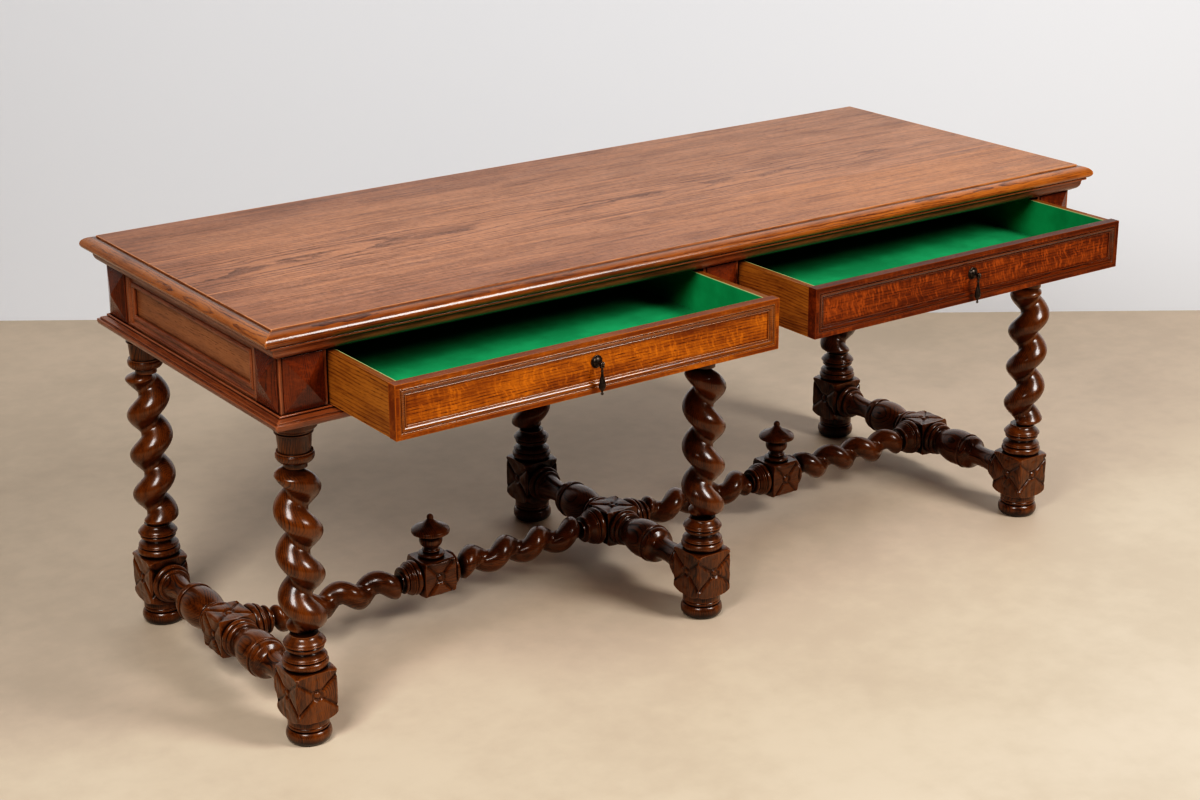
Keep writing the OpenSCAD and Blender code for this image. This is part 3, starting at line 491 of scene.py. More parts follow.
class Stock:
    """The surfaces of one piece, gathered in millimetres round the piece's own axis, Z."""

    def __init__(self):
        self.points = []
        self.faces = []
        self.count = 0

    def skin(self, rows, capped=True):
        """Rows of points, each closed round the axis, joined by faces."""
        rows = np.asarray(rows, float)
        n_rows, n = rows.shape[:2]
        base = self.count
        self.points.append(rows.reshape(-1, 3))
        self.count += n_rows * n
        i = np.arange(n)
        j = (i + 1) % n
        for k in range(n_rows - 1):
            a, b = base + k * n, base + (k + 1) * n
            self.faces += np.stack([a + i, a + j, b + j, b + i], 1).tolist()
        if capped:
            self.faces.append((base + i[::-1]).tolist())
            self.faces.append((base + (n_rows - 1) * n + i).tolist())

    def turned(self, profile, around, reach=0.7):
        """A turned length from its profile of (radius, height)."""
        profile = softened(profile, reach)
        angle = np.arange(around) * 2 * math.pi / around
        self.skin([circle(r, angle, z) for r, z in profile])

    def twist(self, z0, length, r_max, r_min, end_r, hand, start, around, step, sink=1.0):
        """One fat strand wound round the axis, drawn in at both ends, by hand 1 or -1."""
        count = int(length / step) + 1
        share = end_r / r_max
        phi = np.arange(around) * 2 * math.pi / around
        # A full round strand, with a groove whose bottom is softened
        full = (((1 + np.cos(phi)) / 2) ** 2 + 0.006) ** 0.225
        strand = r_min + (r_max - r_min) * (full - full.min()) / (full.max() - full.min())
        rows = []
        for k in range(count + 1):
            z = (length + 2 * sink) * k / count - sink
            e = max(0.0, min(1.0, min(z, length - z) / TWIST_EASE))
            r = strand * (share + (1 - share) * math.sin(math.pi / 2 * e))
            a = math.radians(start) + hand * (phi + 2 * math.pi * z / TWIST_PITCH)
            rows.append(circle(r, a, z0 + z))
        if hand < 0:
            rows = [row[::-1] for row in rows]
        self.skin(rows)

    def block(self, z0, width, length, end_r, shoulders, face, carving, button, plain=(), seed=1):
        """A square block with turned-off ends, carved on each face that isn't plain.

        The shoulders are the plain turned length at its foot and the heights of the turned
        shoulders at its foot and its head. The face is the middle and the half height of the carving.
        """
        half, corner = width / 2, width * 0.7072
        collar, low, top = shoulders
        per_side = int(width / CARVED_STEP[0])
        t = np.linspace(-1, 1, per_side, endpoint=False)
        # Closer together near the arrises
        crowd = 1.44
        t = np.sin(t * crowd) / math.sin(crowd)
        # Points round the square, side by side, with the side that each is on
        one = np.ones(per_side)
        sx = np.concatenate([one, -t, -one, t])
        sy = np.concatenate([t, one, -t, -one])
        side = np.repeat(np.arange(4), per_side)
        normal = np.array([(1, 0), (0, 1), (-1, 0), (0, -1)], float)[side]
        across = np.tile(t, 4) * half
        free = np.array([k not in plain for k in range(4)])[side]
        rng = np.random.default_rng(seed)
        sway = rng.uniform(-1, 1, (4, 4))
        rows = []
        for z in np.linspace(0, length, int(length / CARVED_STEP[1])):
            foot, head = (z - collar) / low, (length - z) / top
            e = max(0.0, min(1.0, foot, head))
            limit = end_r + (corner - end_r) * math.sqrt(1 - (1 - e) ** 2)
            x, y = sx * half, sy * half
            reach = np.hypot(x, y)
            # The arris is rubbed round, and the lathe has taken off what passes the limit
            k = np.minimum(1.0, min(limit, corner - RUBBED) / reach)
            spare = max(0.0, min((foot - 1) * low, (head - 1) * top))
            free_here = np.clip((limit + spare - reach) / 4.0, 0, 1) * free
            v = (z - face[0]) / face[1]
            # The carver's hand: an uneven surface, and grooves that bend and shift a little
            uneven = np.sin(across * 0.21 + sway[side, 0] * 3) * np.sin(z * 0.23 + sway[side, 1] * 3)
            bend = sway[side, 2] * 0.05 * np.sin(v * 2.5)
            d = self.carved(
                across / half + bend, v + sway[side, 3] * 0.03, half, face[1], carving, button)
            d = (d + 0.35 * uneven) * free_here
            x, y = x * k - normal[:, 0] * d, y * k - normal[:, 1] * d
            rows.append(np.stack([x, y, np.full(len(x), z0 + z)], 1))
        self.skin(rows)

    @staticmethod
    def carved(a, b, half, tall, depth, button):
        """Depth of the carving at a across and b along a face: four lobes round a button."""
        u, v = a * half, b * tall
        groove = np.minimum(np.abs(a - b), np.abs(a + b)) * half * tall / math.hypot(half, tall)
        r = np.hypot(u, v)
        within = np.clip((1.12 - np.abs(b)) / 0.14, 0, 1)
        # A narrow cut within a wide one
        cut = depth * 0.70 * np.exp(-((groove / 2.6) ** 1.6))
        lobe = (cut + depth * 0.35 * np.exp(-((groove / 6.0) ** 1.8))) * within
        t = np.clip((r - button * 1.5) / 3.4, 0, 1)
        d = np.maximum(lobe, depth * 1.05 * (1 - t * t * (3 - 2 * t)))
        dome = depth * 0.15 + depth * 0.9 * np.clip(r / button, 0, 1) ** 5
        d = np.where(r < button, np.minimum(d, dome), d)
        notch = depth * 0.25 * np.exp(-((u / 7.0) ** 2) - (((np.abs(b) - 1) * tall / 3.0) ** 2))
        pit = depth * 0.45 * np.exp(-(((np.abs(u) - half) / 3.0) ** 2) - ((v / 7.0) ** 2))
        return d + notch + pit

    def plank(self, x0, x1, y0, y1, z0, z1, soft=0.8):
        """A small squared piece with softened edges."""
        bm = bmesh.new()
        bmesh.ops.create_cube(bm, size=1.0)
        for v in bm.verts:
            v.co = Vector(((x0 + x1) / 2 + v.co.x * (x1 - x0), (y0 + y1) / 2 + v.co.y * (y1 - y0),
                           (z0 + z1) / 2 + v.co.z * (z1 - z0)))
        bmesh.ops.bevel(bm, geom=bm.edges[:], offset=soft, segments=2, profile=0.5, affect="EDGES")
        self.take(bm)

    def peg(self, radius, length, x, around, soft=0.0):
        """A short round peg along X, with its middle at x."""
        bm = bmesh.new()
        bmesh.ops.create_cone(
            bm, cap_ends=True, segments=around, radius1=radius, radius2=radius, depth=length)
        if soft:
            rims = [edge for edge in bm.edges if edge.calc_face_angle(0) > 1]
            bmesh.ops.bevel(bm, geom=rims, offset=soft, segments=2, affect="EDGES")
        lying = Matrix.Rotation(math.pi / 2, 3, "Y")
        bmesh.ops.rotate(bm, cent=(0, 0, 0), matrix=lying, verts=bm.verts)
        bmesh.ops.translate(bm, vec=(x, 0, 0), verts=bm.verts)
        self.take(bm)

    def leaf(self, origin, first, second, out, n, m, rng):
        """A closed, slightly uneven leaf of felt from a corner, along two edges."""
        origin, first, second, out = (np.array(v, float) for v in (origin, first, second, out))
        u, v = np.meshgrid(np.linspace(0, 1, n), np.linspace(0, 1, m), indexing="ij")
        flat = origin + u[..., None] * first + v[..., None] * second
        wave = 0.22 * np.sin(u * 9 + rng.uniform(0, 6)) * np.sin(v * 7 + rng.uniform(0, 6))
        edge = np.minimum(np.minimum(u, 1 - u) * n, np.minimum(v, 1 - v) * m)
        near = flat + out * (0.25 + np.abs(wave) * np.clip(edge, 0, 1))[..., None]
        far = flat + out * FELT
        base = self.count
        self.points += [near.reshape(-1, 3), far.reshape(-1, 3)]
        self.count += 2 * n * m

        def quad(*corners):
            self.faces.append([base + layer * n * m + i * m + j for i, j, layer in corners])

        for i in range(n - 1):
            for j in range(m - 1):
                quad((i, j, 0), (i, j + 1, 0), (i + 1, j + 1, 0), (i + 1, j, 0))
                quad((i, j, 1), (i + 1, j, 1), (i + 1, j + 1, 1), (i, j + 1, 1))
        for i in range(n - 1):
            quad((i, 0, 0), (i + 1, 0, 0), (i + 1, 0, 1), (i, 0, 1))
            quad((i, m - 1, 0), (i, m - 1, 1), (i + 1, m - 1, 1), (i + 1, m - 1, 0))
        for j in range(m - 1):
            quad((0, j, 0), (0, j, 1), (0, j + 1, 1), (0, j + 1, 0))
            quad((n - 1, j, 0), (n - 1, j + 1, 0), (n - 1, j + 1, 1), (n - 1, j, 1))

    def take(self, bm):
        """Adds the faces of a small mesh."""
        bm.verts.index_update()
        base = self.count
        self.points.append(np.array([v.co[:] for v in bm.verts]))
        self.faces += [[base + v.index for v in face.verts] for face in bm.faces]
        self.count += len(bm.verts)
        bm.free()

    def piece(self, name, finish, place=(0, 0, 0), turn=(0, 0, 0), crease=38):
        """The finished object, at its place in millimetres."""
        mesh = bpy.data.meshes.new(name)
        mesh.from_pydata((np.concatenate(self.points) / MM).tolist(), [], self.faces)
        mesh.update()
        mesh.shade_smooth()
        mesh.set_sharp_from_angle(angle=math.radians(crease))
        mesh.materials.append(finish)
        made = added(name, mesh)
        made.location = Vector(place) / MM
        made.rotation_euler = turn
        return made


def dress(node, finish, arris=0.0, sharp=34):
    """Gives a node of the frame its finish, and softens its arrises."""
    thing = NODES[node]
    thing.data.materials.clear()
    thing.data.materials.append(finish)
    faces = thing.data.polygons
    faces.foreach_set("material_index", [0] * len(faces))
    if arris:
        faces.foreach_set("use_smooth", [True] * len(faces))
        weld = thing.modifiers.new("Join", "WELD")
        weld.merge_threshold = 0.00002
        soft = thing.modifiers.new("Arris", "BEVEL")
        soft.width = arris
        soft.segments = 2
        soft.limit_method = "ANGLE"
        soft.angle_limit = math.radians(sharp)
        even = thing.modifiers.new("Shade", "WEIGHTED_NORMAL")
        even.weight = 60
        even.keep_sharp = False


def rgb(value):
    """The colour of a setting."""
    return tuple(value[:3])


def shades(tones, part):
    """The light and the dark wood of a part."""
    return [rgb(getattr(tones, f"{part}_{shade}")) for shade in ("light", "dark")]


class TableStep:
    """What every step of the making shares."""

    bl_options = {"REGISTER"}

    def execute(self, context):
        self.make(context.scene.table_oak, context.scene.table_sizes)
        return {"FINISHED"}


class TABLE_OT_stage(TableStep, Operator):
    """Sets up the floor, the wall, the lights and the camera"""

    bl_idname = "table.stage"
    bl_label = "Stage"

    def make(self, tones, sizes):
        scene = bpy.context.scene
        # The camera stands left of the front, above the top, and looks down across the table
        at = Vector((CAMERA_AT[0], CAMERA_AT[1] + TABLE_Y, CAMERA_AT[2])) / MM
        yaw, pitch, roll = (math.radians(turn) for turn in CAMERA_TURN)
        level = math.cos(pitch)
        look = Vector((math.sin(yaw) * level, math.cos(yaw) * level, -math.sin(pitch)))
        right = look.cross(Vector((0, 0, 1))).normalized()
        above = right.cross(look)
        side = right * math.cos(roll) + above * math.sin(roll)
        above = above * math.cos(roll) - right * math.sin(roll)
        lens = bpy.data.cameras.new("view")
        lens.sensor_width = SENSOR
        lens.lens = FOCAL * SENSOR / PHOTO_W
        lens.shift_x = (PHOTO_W / 2 - PRINCIPAL[0]) / PHOTO_W
        lens.shift_y = (PRINCIPAL[1] - PHOTO_H / 2) / PHOTO_W
        lens.clip_end = 100
        camera = added("view", lens)
        turn = Matrix((side, above, -look)).transposed().to_4x4()
        camera.matrix_world = Matrix.Translation(at) @ turn
        scene.camera = camera

        floor = self.sheet("studio_floor", Vector((0, 0, 0)), (STUDIO_W, 0, 0), (0, STUDIO_W, 0),
                           plain_finish("studio floor", rgb(sizes.floor), 0.35, 0.55))
        ahead = Vector((math.sin(yaw), math.cos(yaw), 0))
        across = Vector((math.cos(yaw), -math.sin(yaw), 0))
        foot = Vector((at.x, at.y, 0)) + ahead * WALL_AWAY
        wall = self.sheet("studio_wall", foot + Vector((0, 0, WALL_H / 2)), across * STUDIO_W,
                          (0, 0, WALL_H), self.wall_finish(rgb(sizes.wall)))

        world = bpy.data.worlds.new("studio")
        world.use_nodes = True
        sky = world.node_tree.nodes["Background"]
        sky.inputs["Color"].default_value = (0.80, 0.83, 0.88, 1)
        sky.inputs["Strength"].default_value = 0.01
        scene.world = world
        self.lamp("key", (-2.7, -1.6, 3.0), (-0.3, 0.0, 0.4), (1.2, 1.7), 124)
        self.lamp("fill", (1.35, -2.9, 3.05), (0.1, -0.1, 0.4), (1.2, 1.7), 156)
        view = scene.view_settings
        view.view_transform = "Standard"
        view.use_curve_mapping = True
        curve = view.curve_mapping.curves[3]
        for x, y in PRINT_CURVE:
            curve.points.new(x, y)
        view.curve_mapping.update()

    def sheet(self, name, centre, first, second, finish):
        """A flat rectangle of the studio."""
        a, b = Vector(first) / 2, Vector(second) / 2
        mesh = bpy.data.meshes.new(name)
        corners = [centre - a - b, centre + a - b, centre + a + b, centre - a + b]
        mesh.from_pydata([c[:] for c in corners], [], [(0, 1, 2, 3)])
        mesh.materials.append(finish)
        return added(name, mesh)

    def wall_finish(self, colour):
        """Pale paint that is seen only from the table's side."""
        f = Finish("studio wall")
        paint = f.node("BsdfDiffuse", {}, {"Color": colour})
        clear = f.node("BsdfTransparent", {}, {})
        behind = f.node("NewGeometry", {}, {}, out=6)
        return f.end(f.node("MixShader", {}, {0: behind, 1: paint, 2: clear}))

    def lamp(self, name, at, to, size, power):
        """A softbox at a place, turned towards another."""
        light = bpy.data.lights.new(name, "AREA")
        light.shape = "RECTANGLE"
        light.size, light.size_y = size
        light.energy = power
        light.color = LAMP_WHITE
        made = added(name, light)
        made.location = at
        made.rotation_euler = (Vector(to) - Vector(at)).to_track_quat("-Z", "Y").to_euler()
        made.visible_camera = False


class TABLE_OT_top(TableStep, Operator):
    """Finishes the boards of the top and their edge mouldings"""

    bl_idname = "table.top"
    bl_label = "Top"

    def make(self, tones, sizes):
        boards = (*span("top_board_front", 0),
                  span("top_board_front", 1)[0], span("top_board_back", 1)[1])
        # Where the pith of each board's tree lies, from the middle of the table and under its top
        piths = {"front": (-540.0, 170.0), "middle": (-20.0, 120.0), "back": (600.0, 210.0)}
        for k, (row, pith) in enumerate(piths.items()):
            finish = oak(f"top {row}", *shades(tones, "top"), "X", 1.3 + k, 4.6,
                         (pith[0] + TABLE_Y, pith[1] - TABLE_H), taper=0.014, figure=0.50,
                         contrast=1.7, flecks=0.15, coat=0.0, arris=0.9, sway=0.45, sheen=0.65,
                         mottle=0.7, rim=boards)
            dress(f"top_board_{row}", finish)
        for side, grain in SIDES.items():
            finish = oak(f"edge {side}", *shades(tones, "edge"), grain, 5.7, 3.0, gloss=0.28,
                         coat=0.9, arris=0.6, grime_and_shade=0.9, sway=0.5, quirk=boards,
                         rim=boards if side == "front" else None)
            dress(f"top_edge_{side}", finish, sizes.arris)


class TABLE_OT_frieze(TableStep, Operator):
    """Finishes the cornice, the posts, the panels, the rails and the base moulding"""

    bl_idname = "table.frieze"
    bl_label = "Frieze"

    def make(self, tones, sizes):
        made = {
            grain: oak(f"frieze {grain}", *shades(tones, "frieze"), grain, 2.9, 2.6, figure=0.3,
                       gloss=0.32, coat=0.6, arris=0.6, grime_and_shade=0.95, sway=0.4, sheen=0.3)
            for grain in "XYZ"
        }
        # The panels are dressed here and again below, so their arrises are softened twice
        groups = {
            "X": ["back_panels", "back_mouldings", "upper_rail", "lower_rail"],
            "Y": ["end_panel_left", "end_panel_right", "end_mouldings"],
            "Z": ["corner_post_fl", "corner_post_fr", "corner_post_bl", "corner_post_br",
                  "centre_post_front", "centre_post_back"],
        }
        for side, grain in SIDES.items():
            groups[grain] += [f"cornice_{side}", f"base_moulding_{side}"]
        for grain, names in groups.items():
            for name in names:
                dress(name, made[grain], sizes.arris * 0.8)
        for grain in "XY":
            finish = oak(f"panel {grain}", *shades(tones, "panel"), grain, 6.1, 2.8, figure=0.25,
                         contrast=0.7, coat=0.1, arris=0.4, grime_and_shade=0.9, sway=0.4, sheen=0.5)
            for name in groups[grain]:
                if "_panel" in name:
                    dress(name, finish, sizes.arris * 0.8)
        inside = oak("inside", *shades(tones, "case"), "Y", 4.1, gloss=0.6, coat=0.0, grime_and_shade=0.4)
        for name in ("centre_partition", "drawer_runners"):
            dress(name, inside, sizes.arris)
        boss = oak("boss", *shades(tones, "boss"), "Z", 7.7, 2.6, flecks=0.3, gloss=0.28, coat=0.6,
                   arris=0.6, grime_and_shade=0.8)
        # The facets of a diamond meet at flat angles
        dress("diamond_bosses", boss, sizes.arris * 0.7, sharp=6)


class TurnedStep(TableStep):
    """What the turned pieces share."""

    def cuts(self, sizes):
        """Depth of the carving and radius of its button, in millimetres."""
        return sizes.carving * MM, sizes.button * MM

    def finish(self, tones, name, seed):
        """Dark oak, rubbed on the ridges, with painted shade in its hollows and the grain along the
        turning.
        """
        return oak(name, *shades(tones, "leg"), "Z", seed, 2.8, (38.0, 26.0), figure=0.5,
                   contrast=1.2, gloss=0.32, coat=0.75, ridges=0.5, arris=0.45, hollow=0.9)


# The turned lengths of a leg, as points of (radius, height): under its block, over it, over its twist
LEG_FOOT = ([(0.01, 0), (30.5, 0)] + arc(30.5, 13.6, 9.5, 13.6, -75, 55) + [(33.84, 25.2)]
            + ring(36, 25.2, 34) + [(31.7, 35)])
LEG_RINGS = ([(31.7, 137), (31.7, 138)] + arc(31.7, 146.6, 8.3, 8.3, -85, 85)
             + ring(37.8, 155.6, 158.8) + ogee(36.2, 159.4, 26.4, 168.6) + [(26.4, 170)]
             + arc(28.6, 175.7, 5.1, 5.1, -80, 80) + ring(36.9, 181.4, 185)
             + ogee(34.6, 185.6, 24.5, 198.5) + [(24.5, 200)])
LEG_CUP = ([(20.1, 501), (20.1, 509.7)] + arc(22.4, 522.5, 10.6, 12.2, -80, 15)
           + [(30.4, 527.1), (31, 530), (27.4, 530), (29.9, 561)] + ring(33, 561, 565.4)
           + ogee(33, 565.8, 40, 575) + [(40, 581.2)])
# Each leg's place, the angle at which its twist starts and the hand of the twist
LEGS = {"fl": (-1, -1, 96, -1), "fr": (1, -1, -76, 1), "bl": (-1, 1, -113, 1),
        "br": (1, 1, -117, -1), "mf": (0, -1, 73, -1), "mb": (0, 1, 71, 1)}


class TABLE_OT_legs(TurnedStep, Operator):
    """Turns, twists and carves the six legs"""

    bl_idname = "table.legs"
    bl_label = "Legs"

    def make(self, tones, sizes):
        around = sizes.around
        half = PLATE / 2
        for k, (key, (sx, sy, start, hand)) in enumerate(LEGS.items()):
            s = Stock()
            s.turned(LEG_FOOT, around)
            s.block(34, LEG_BLOCK, 104, 36, (12, 18, 8), (61.6, 32), *self.cuts(sizes), seed=k)
            s.turned(LEG_RINGS, around)
            s.twist(200, 301, *LEG_TWIST, hand, start, around, sizes.step * MM)
            s.turned(LEG_CUP, around)
            s.plank(-half, half, -half, half, PLATE_Z, CARCASE_Z, 1.0)
            finish = self.finish(tones, f"leg {key}", 1.0 + 0.7 * k)
            leg = s.piece(f"turned_leg_{key}", finish, (sx * LEG_X, TABLE_Y + sy * LEG_Y, 0))
            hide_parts(f"leg_{key}")
            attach(leg, "table_frame")


class TABLE_OT_cross_stretchers(TurnedStep, Operator):
    """Turns and carves the three stretchers from front to back"""

    bl_idname = "table.cross_stretchers"
    bl_label = "Cross stretchers"

    def make(self, tones, sizes):
        half = CROSS_BLOCK / 2
        length = LEG_Y - LEG_BLOCK / 2 - half
        profile = (
            [(21.9, -1), (21.9, 0)] + ring(36.5, 0, 13.2) + ring(33.6, 13.2, 24)
            + [(25.2, 25.5), (25.2, 30.5)] + belly(28, 32, 35.7, 99, 5.3) + [(33.4, 99)]
            + ring(38, 99.9, 105) + belly(35.2, 106.2, 33, 120.5, 1.6)
            + [(30.5, 122.5), (26, 125), (22.6, 129)] + belly(21.4, 134, 24.8, 188, -2.2)
            + [(26, 191)] + ring(31.8, 191, 199.6) + [(28.5, 201.1)] + ring(37.6, 202, length)
        )
        for k, (name, x) in enumerate((("left", -LEG_X), ("middle", 0.0), ("right", LEG_X))):
            s = Stock()
            s.block(-half, CROSS_BLOCK, CROSS_BLOCK, 34.5, (0, 8, 8), (36, 31),
                    *self.cuts(sizes), seed=20 + k)
            s.turned([(r, z + half) for r, z in profile], sizes.around)
            s.turned([(r, -z - half) for r, z in reversed(profile)], sizes.around)
            finish = self.finish(tones, f"cross stretcher {name}", 5.3 + 0.9 * k)
            bar = s.piece(f"turned_cross_stretcher_{name}", finish, (x, TABLE_Y, STRETCHER_Z),
                          (math.pi / 2, 0, 0))
            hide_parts(f"cross_stretcher_{name}")
            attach(bar, "table_frame")


class TABLE_OT_long_stretchers(TurnedStep, Operator):
    """Turns, twists and carves the two stretchers along the middle, and their finials"""

    bl_idname = "table.long_stretchers"
    bl_label = "Long stretchers"

    def make(self, tones, sizes):
        around, step = sizes.around, sizes.step * MM
        full = LEG_X - CROSS_BLOCK
        b0, b1 = full / 2 - LONG_BLOCK / 2, full / 2 + LONG_BLOCK / 2
        ends = ([(25.8, 0)] + ring(37.4, 0, 16) + ring(34.7, 16, 20.6) + ogee(33, 21.4, 23.8, 32.8)
                + ring(26.5, 33.6, 40.3) + [(18, 42), (18, 46)])
        # The two twists lie between the ends and the turned lengths on both sides of the block
        t0, t1, t2, t3 = 46, b0 - 38, b1 + 18, full - 46
        before = ([(18, t1), (18, t1 + 4)] + ring(26.5, t1 + 4, t1 + 11.4)
                  + ogee(25.8, t1 + 12.2, 31.3, t1 + 19.8) + ring(33, t1 + 20.5, t1 + 25.1)
                  + ring(34, t1 + 25.1, b0) + [(23.8, b0 + 1)])
        after = ([(24, b1 - 1), (24, b1)] + ring(34, b1 + 2, b1 + 11.2)
                 + [(18, b1 + 14), (18, t2)])
        # Each stretcher's start, and the hand and the start angle of each of its twists
        bays = {"left": (-LEG_X, 1, 221, -1, 333), "right": (0.0, -1, 165, 1, 76)}
        for k, (name, (x, hand1, start1, hand2, start2)) in enumerate(bays.items()):
            s = Stock()
            s.turned(ends, around)
            s.twist(t0, t1 - t0, *LONG_TWIST, hand1, start1, around, step)
            s.turned(before, around)
            s.block(b0, LONG_BLOCK, LONG_BLOCK, 33, (0, 8, 8), (35, 30),
                    *self.cuts(sizes), (2,), 30 + k)
            s.turned(after, around)
            s.twist(t2, t3 - t2, *LONG_TWIST, hand2, start2, around, step)
            s.turned([(r, full - z) for r, z in reversed(ends)], around)
            finish = self.finish(tones, f"long stretcher {name}", 9.1 + 1.1 * k)
            bar = s.piece(f"turned_long_stretcher_{name}", finish,
                          (x + CROSS_BLOCK / 2, TABLE_Y, STRETCHER_Z), (0, math.pi / 2, 0))
            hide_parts(f"long_stretcher_{name}")
            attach(bar, "table_frame")
        profile = (
            [(0.01, 0)] + ring(25.5, 0, 8.6) + [(13.7, 10.3)] + ring(17.6, 11.2, 15.5)
            + arc(9.9, 33.5, 12.6, 13.8, -75, 50) + [(21.4, 44.3)] + ogee(22.5, 45.6, 36.3, 49.4)
            + [(36.9, 50.6), (37, 53), (35.6, 56.4), (32, 59.6), (27, 62.2), (21.5, 64.4),
               (16, 66.8), (11.5, 69.8), (8.2, 73.4)] + arc(0, 79, 6.6, 7, -30, 89)
        )
        for k, (name, x) in enumerate((("left", -LEG_X / 2), ("right", LEG_X / 2))):
            s = Stock()
            s.turned(profile, around, 0.5)
            knob = s.piece(f"finial_{name}", self.finish(tones, f"finial {name}", 12.5 + k),
                           (x, TABLE_Y, STRETCHER_Z + LONG_BLOCK / 2))
            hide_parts("finials")
            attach(knob, "table_frame")


class TABLE_OT_drawers(TableStep, Operator):
    """Finishes the drawer fronts, their mouldings and the drawer boxes"""

    bl_idname = "table.drawers"
    bl_label = "Drawers"

    def make(self, tones, sizes):
        for k, side in enumerate(("left", "right")):
            light, dark = shades(tones, side)
            field = (*span(f"{side}_front_moulding", 0), *span(f"{side}_front_moulding", 2))
            front = oak(f"{side} front", light, dark, "X", 3.3 + 2 * k, 5.0, (0, 400), figure=0.35,
                        contrast=1.3, mottle=2.2, flecks=0.8 if side == "right" else 0.4,
                        gloss=0.34, coat=0.18, sheen=0.08, arris=0.5, grime_and_shade=0.9,
                        field=field, top=span(f"{side}_drawer_front", 2)[1])
            moulding = oak(f"{side} moulding", scaled(light, 0.6), scaled(dark, 0.6), "X",
                           6.3 + k, 3.0, gloss=0.22, coat=1.0, arris=0.4, grime_and_shade=1.0)
            case = oak(f"{side} case", *shades(tones, "case"), "Y", 8.3 + k, 5.2, (0, 300),
                       figure=0.55, gloss=0.5, coat=0.1, arris=0.3, grime_and_shade=0.5, sway=0.5,
                       top=span(f"{side}_drawer_sides", 2)[1])
            dress(f"{side}_drawer_front", front, sizes.arris * 0.7)
            dress(f"{side}_front_moulding", moulding, sizes.arris * 0.3)
            for part in ("sides", "back", "bottom"):
                dress(f"{side}_drawer_{part}", case, sizes.arris * 0.7)


class TABLE_OT_felt(TableStep, Operator):
    """Lines both drawers with glued felt"""

    bl_idname = "table.felt"
    bl_label = "Felt"

    def make(self, tones, sizes):
        finish = felt_finish("green felt", rgb(sizes.felt), span("left_drawer_lining", 2)[1])
        for side in ("left", "right"):
            lo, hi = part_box(f"{side}_drawer_lining")
            lo, hi = lo * MM, hi * MM
            s = Stock()
            self.sheet(s, lo, hi)
            made = s.piece(f"{side}_felt_lining", finish, crease=60)
            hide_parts(f"{side}_drawer_lining")
            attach(made, f"drawer_{side}")

    def sheet(self, s, lo, hi):
        """The floor and the four upturned sides of a lining."""
        rng = np.random.default_rng(7)
        t = FELT
        long, wide, tall = hi.x - lo.x, hi.y - lo.y - 2 * t, (0, 0, hi.z - lo.z)
        s.leaf((lo.x + t, lo.y + t, lo.z + t), (long - 2 * t, 0, 0), (0, wide, 0), (0, 0, -1),
               40, 32, rng)
        s.leaf((lo.x + t, lo.y + t, lo.z), (0, wide, 0), tall, (-1, 0, 0), 32, 8, rng)
        s.leaf((hi.x - t, hi.y - t, lo.z), (0, -wide, 0), tall, (1, 0, 0), 32, 8, rng)
        s.leaf((hi.x, lo.y + t, lo.z), (-long, 0, 0), tall, (0, -1, 0), 40, 8, rng)
        s.leaf((lo.x, hi.y - t, lo.z), (long, 0, 0), tall, (0, 1, 0), 40, 8, rng)


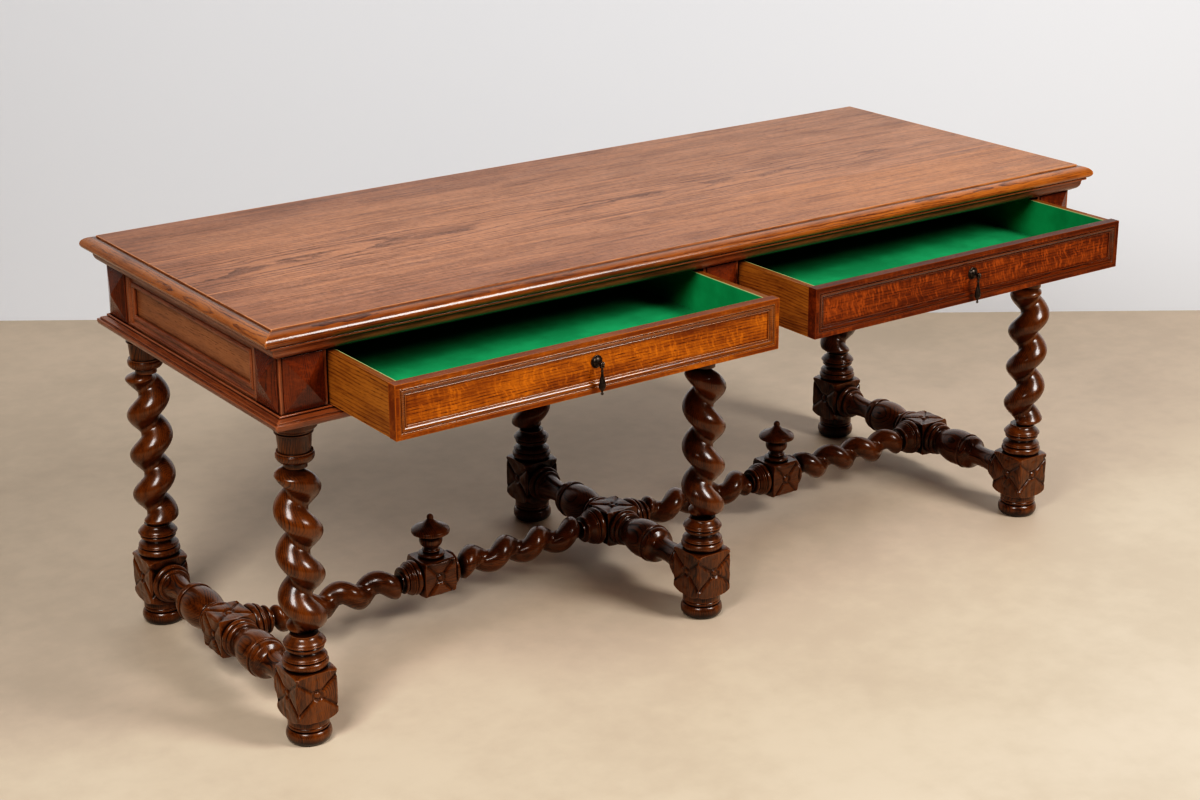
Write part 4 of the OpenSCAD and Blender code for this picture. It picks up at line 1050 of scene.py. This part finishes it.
class TABLE_OT_pulls(TableStep, Operator):
    """Turns the rosettes and the drops of the two pulls"""

    bl_idname = "table.pulls"
    bl_label = "Pulls"

    def make(self, tones, sizes):
        finish = bronze_finish("dark bronze", rgb(sizes.bronze))
        for side in ("left", "right"):
            face = span(f"{side}_pull_rosette", 1)[1]
            x = middle(f"{side}_pull_rosette").x
            joint = next(j for j in frame["joints"] if j["name"] == f"{side}_drop_hinge")
            pin = Vector(joint["pos_m"]) * MM
            out = face - pin.y
            s = Stock()
            s.turned([(0.01, 0), (11, 0), (11, 0.7)] + arc(10.2, 1.2, 0.8, 0.6, -40, 120, 6)
                     + [(9.0, 1.2)] + arc(0, 1.3, 8.8, 5.6, 4, 72)
                     + [(2.3, 6.9), (2.3, out - 3.6), (0.01, out - 3.4)], 48, 0.4)
            self.eye(s, out)
            base = s.piece(f"{side}_rosette", finish, (x, face, pin.z), (math.pi / 2, 0, 0))
            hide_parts(f"{side}_pull_rosette")
            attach(base, f"drawer_{side}")

            s = Stock()
            foot = -DROP
            s.turned([(0.01, foot)] + arc(0, foot + 2.6, 2.6, 2.6, -85, 60) + [(1.5, foot + 5.2)]
                     + ogee(1.8, foot + 5.4, 6.2, foot + 14) + ogee(6.2, foot + 15, 2, foot + 41, 20)
                     + arc(2, foot + 42, 0.9, 0.9, -90, 90, 6) + [(1.9, foot + 43.4), (1.9, -5.2)],
                     40, 0.3)
            # Flatter from front to back than it is wide
            s.points[-1][:, 1] *= 0.8
            # Two cheeks with round ends, the bridge that joins them, and the pin through the eye
            for m in (-1, 1):
                a, b = sorted((m * 1.9, m * 3.7))
                s.plank(a, b, -2.1, 2.1, -6.6, 0.5, 0.4)
                s.peg(3, 1.8, m * 2.8, 32, 0.3)
            s.plank(-3.7, 3.7, -2.1, 2.1, -6.6, -4.8, 0.4)
            s.peg(1.4, 7.4, 0, 24)
            drop = s.piece(f"{side}_drop", finish, (pin.x, pin.y, pin.z))
            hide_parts(f"{side}_pull_drop")
            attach(drop, f"drop_{side}")

    def eye(self, s, out):
        """The ring that the pin runs through, upright and square to the pin."""
        wire, radius = EYE_WIRE, EYE - EYE_WIRE
        rows = []
        for i in range(32):
            a = 2 * math.pi * i / 32
            row = []
            for j in range(12):
                b = 2 * math.pi * j / 12
                r = radius + wire * math.cos(b)
                row.append((wire * 1.3 * math.sin(b), r * math.sin(a), out + r * math.cos(a)))
            rows.append(row)
        rows.append(rows[0])
        s.skin(rows, capped=False)


class TABLE_PT_panel(Panel):
    """Lists the steps of the making and the values they use"""

    bl_idname = "TABLE_PT_panel"
    bl_label = "Library Table"
    bl_space_type = "VIEW_3D"
    bl_region_type = "UI"
    bl_category = "Library Table"

    def draw(self, context):
        column = self.layout.column()
        for step in STEPS:
            column.operator(step.bl_idname)
        for group in (context.scene.table_sizes, context.scene.table_oak):
            for key in group.__annotations__:
                column.prop(group, key)


STEPS = (TABLE_OT_stage, TABLE_OT_top, TABLE_OT_frieze, TABLE_OT_legs, TABLE_OT_cross_stretchers,
         TABLE_OT_long_stretchers, TABLE_OT_drawers, TABLE_OT_felt, TABLE_OT_pulls)
CLASSES = (OakTones, TableSizes, *STEPS, TABLE_PT_panel)


def register():
    for cls in CLASSES:
        bpy.utils.register_class(cls)
    bpy.types.Scene.table_oak = PointerProperty(type=OakTones)
    bpy.types.Scene.table_sizes = PointerProperty(type=TableSizes)


def unregister():
    del bpy.types.Scene.table_sizes
    del bpy.types.Scene.table_oak
    for cls in reversed(CLASSES):
        bpy.utils.unregister_class(cls)


def main():
    register()
    for step in STEPS:
        name = step.bl_idname.split(".")[1]
        getattr(bpy.ops.table, name)()


if __name__ == "__main__":
    main()
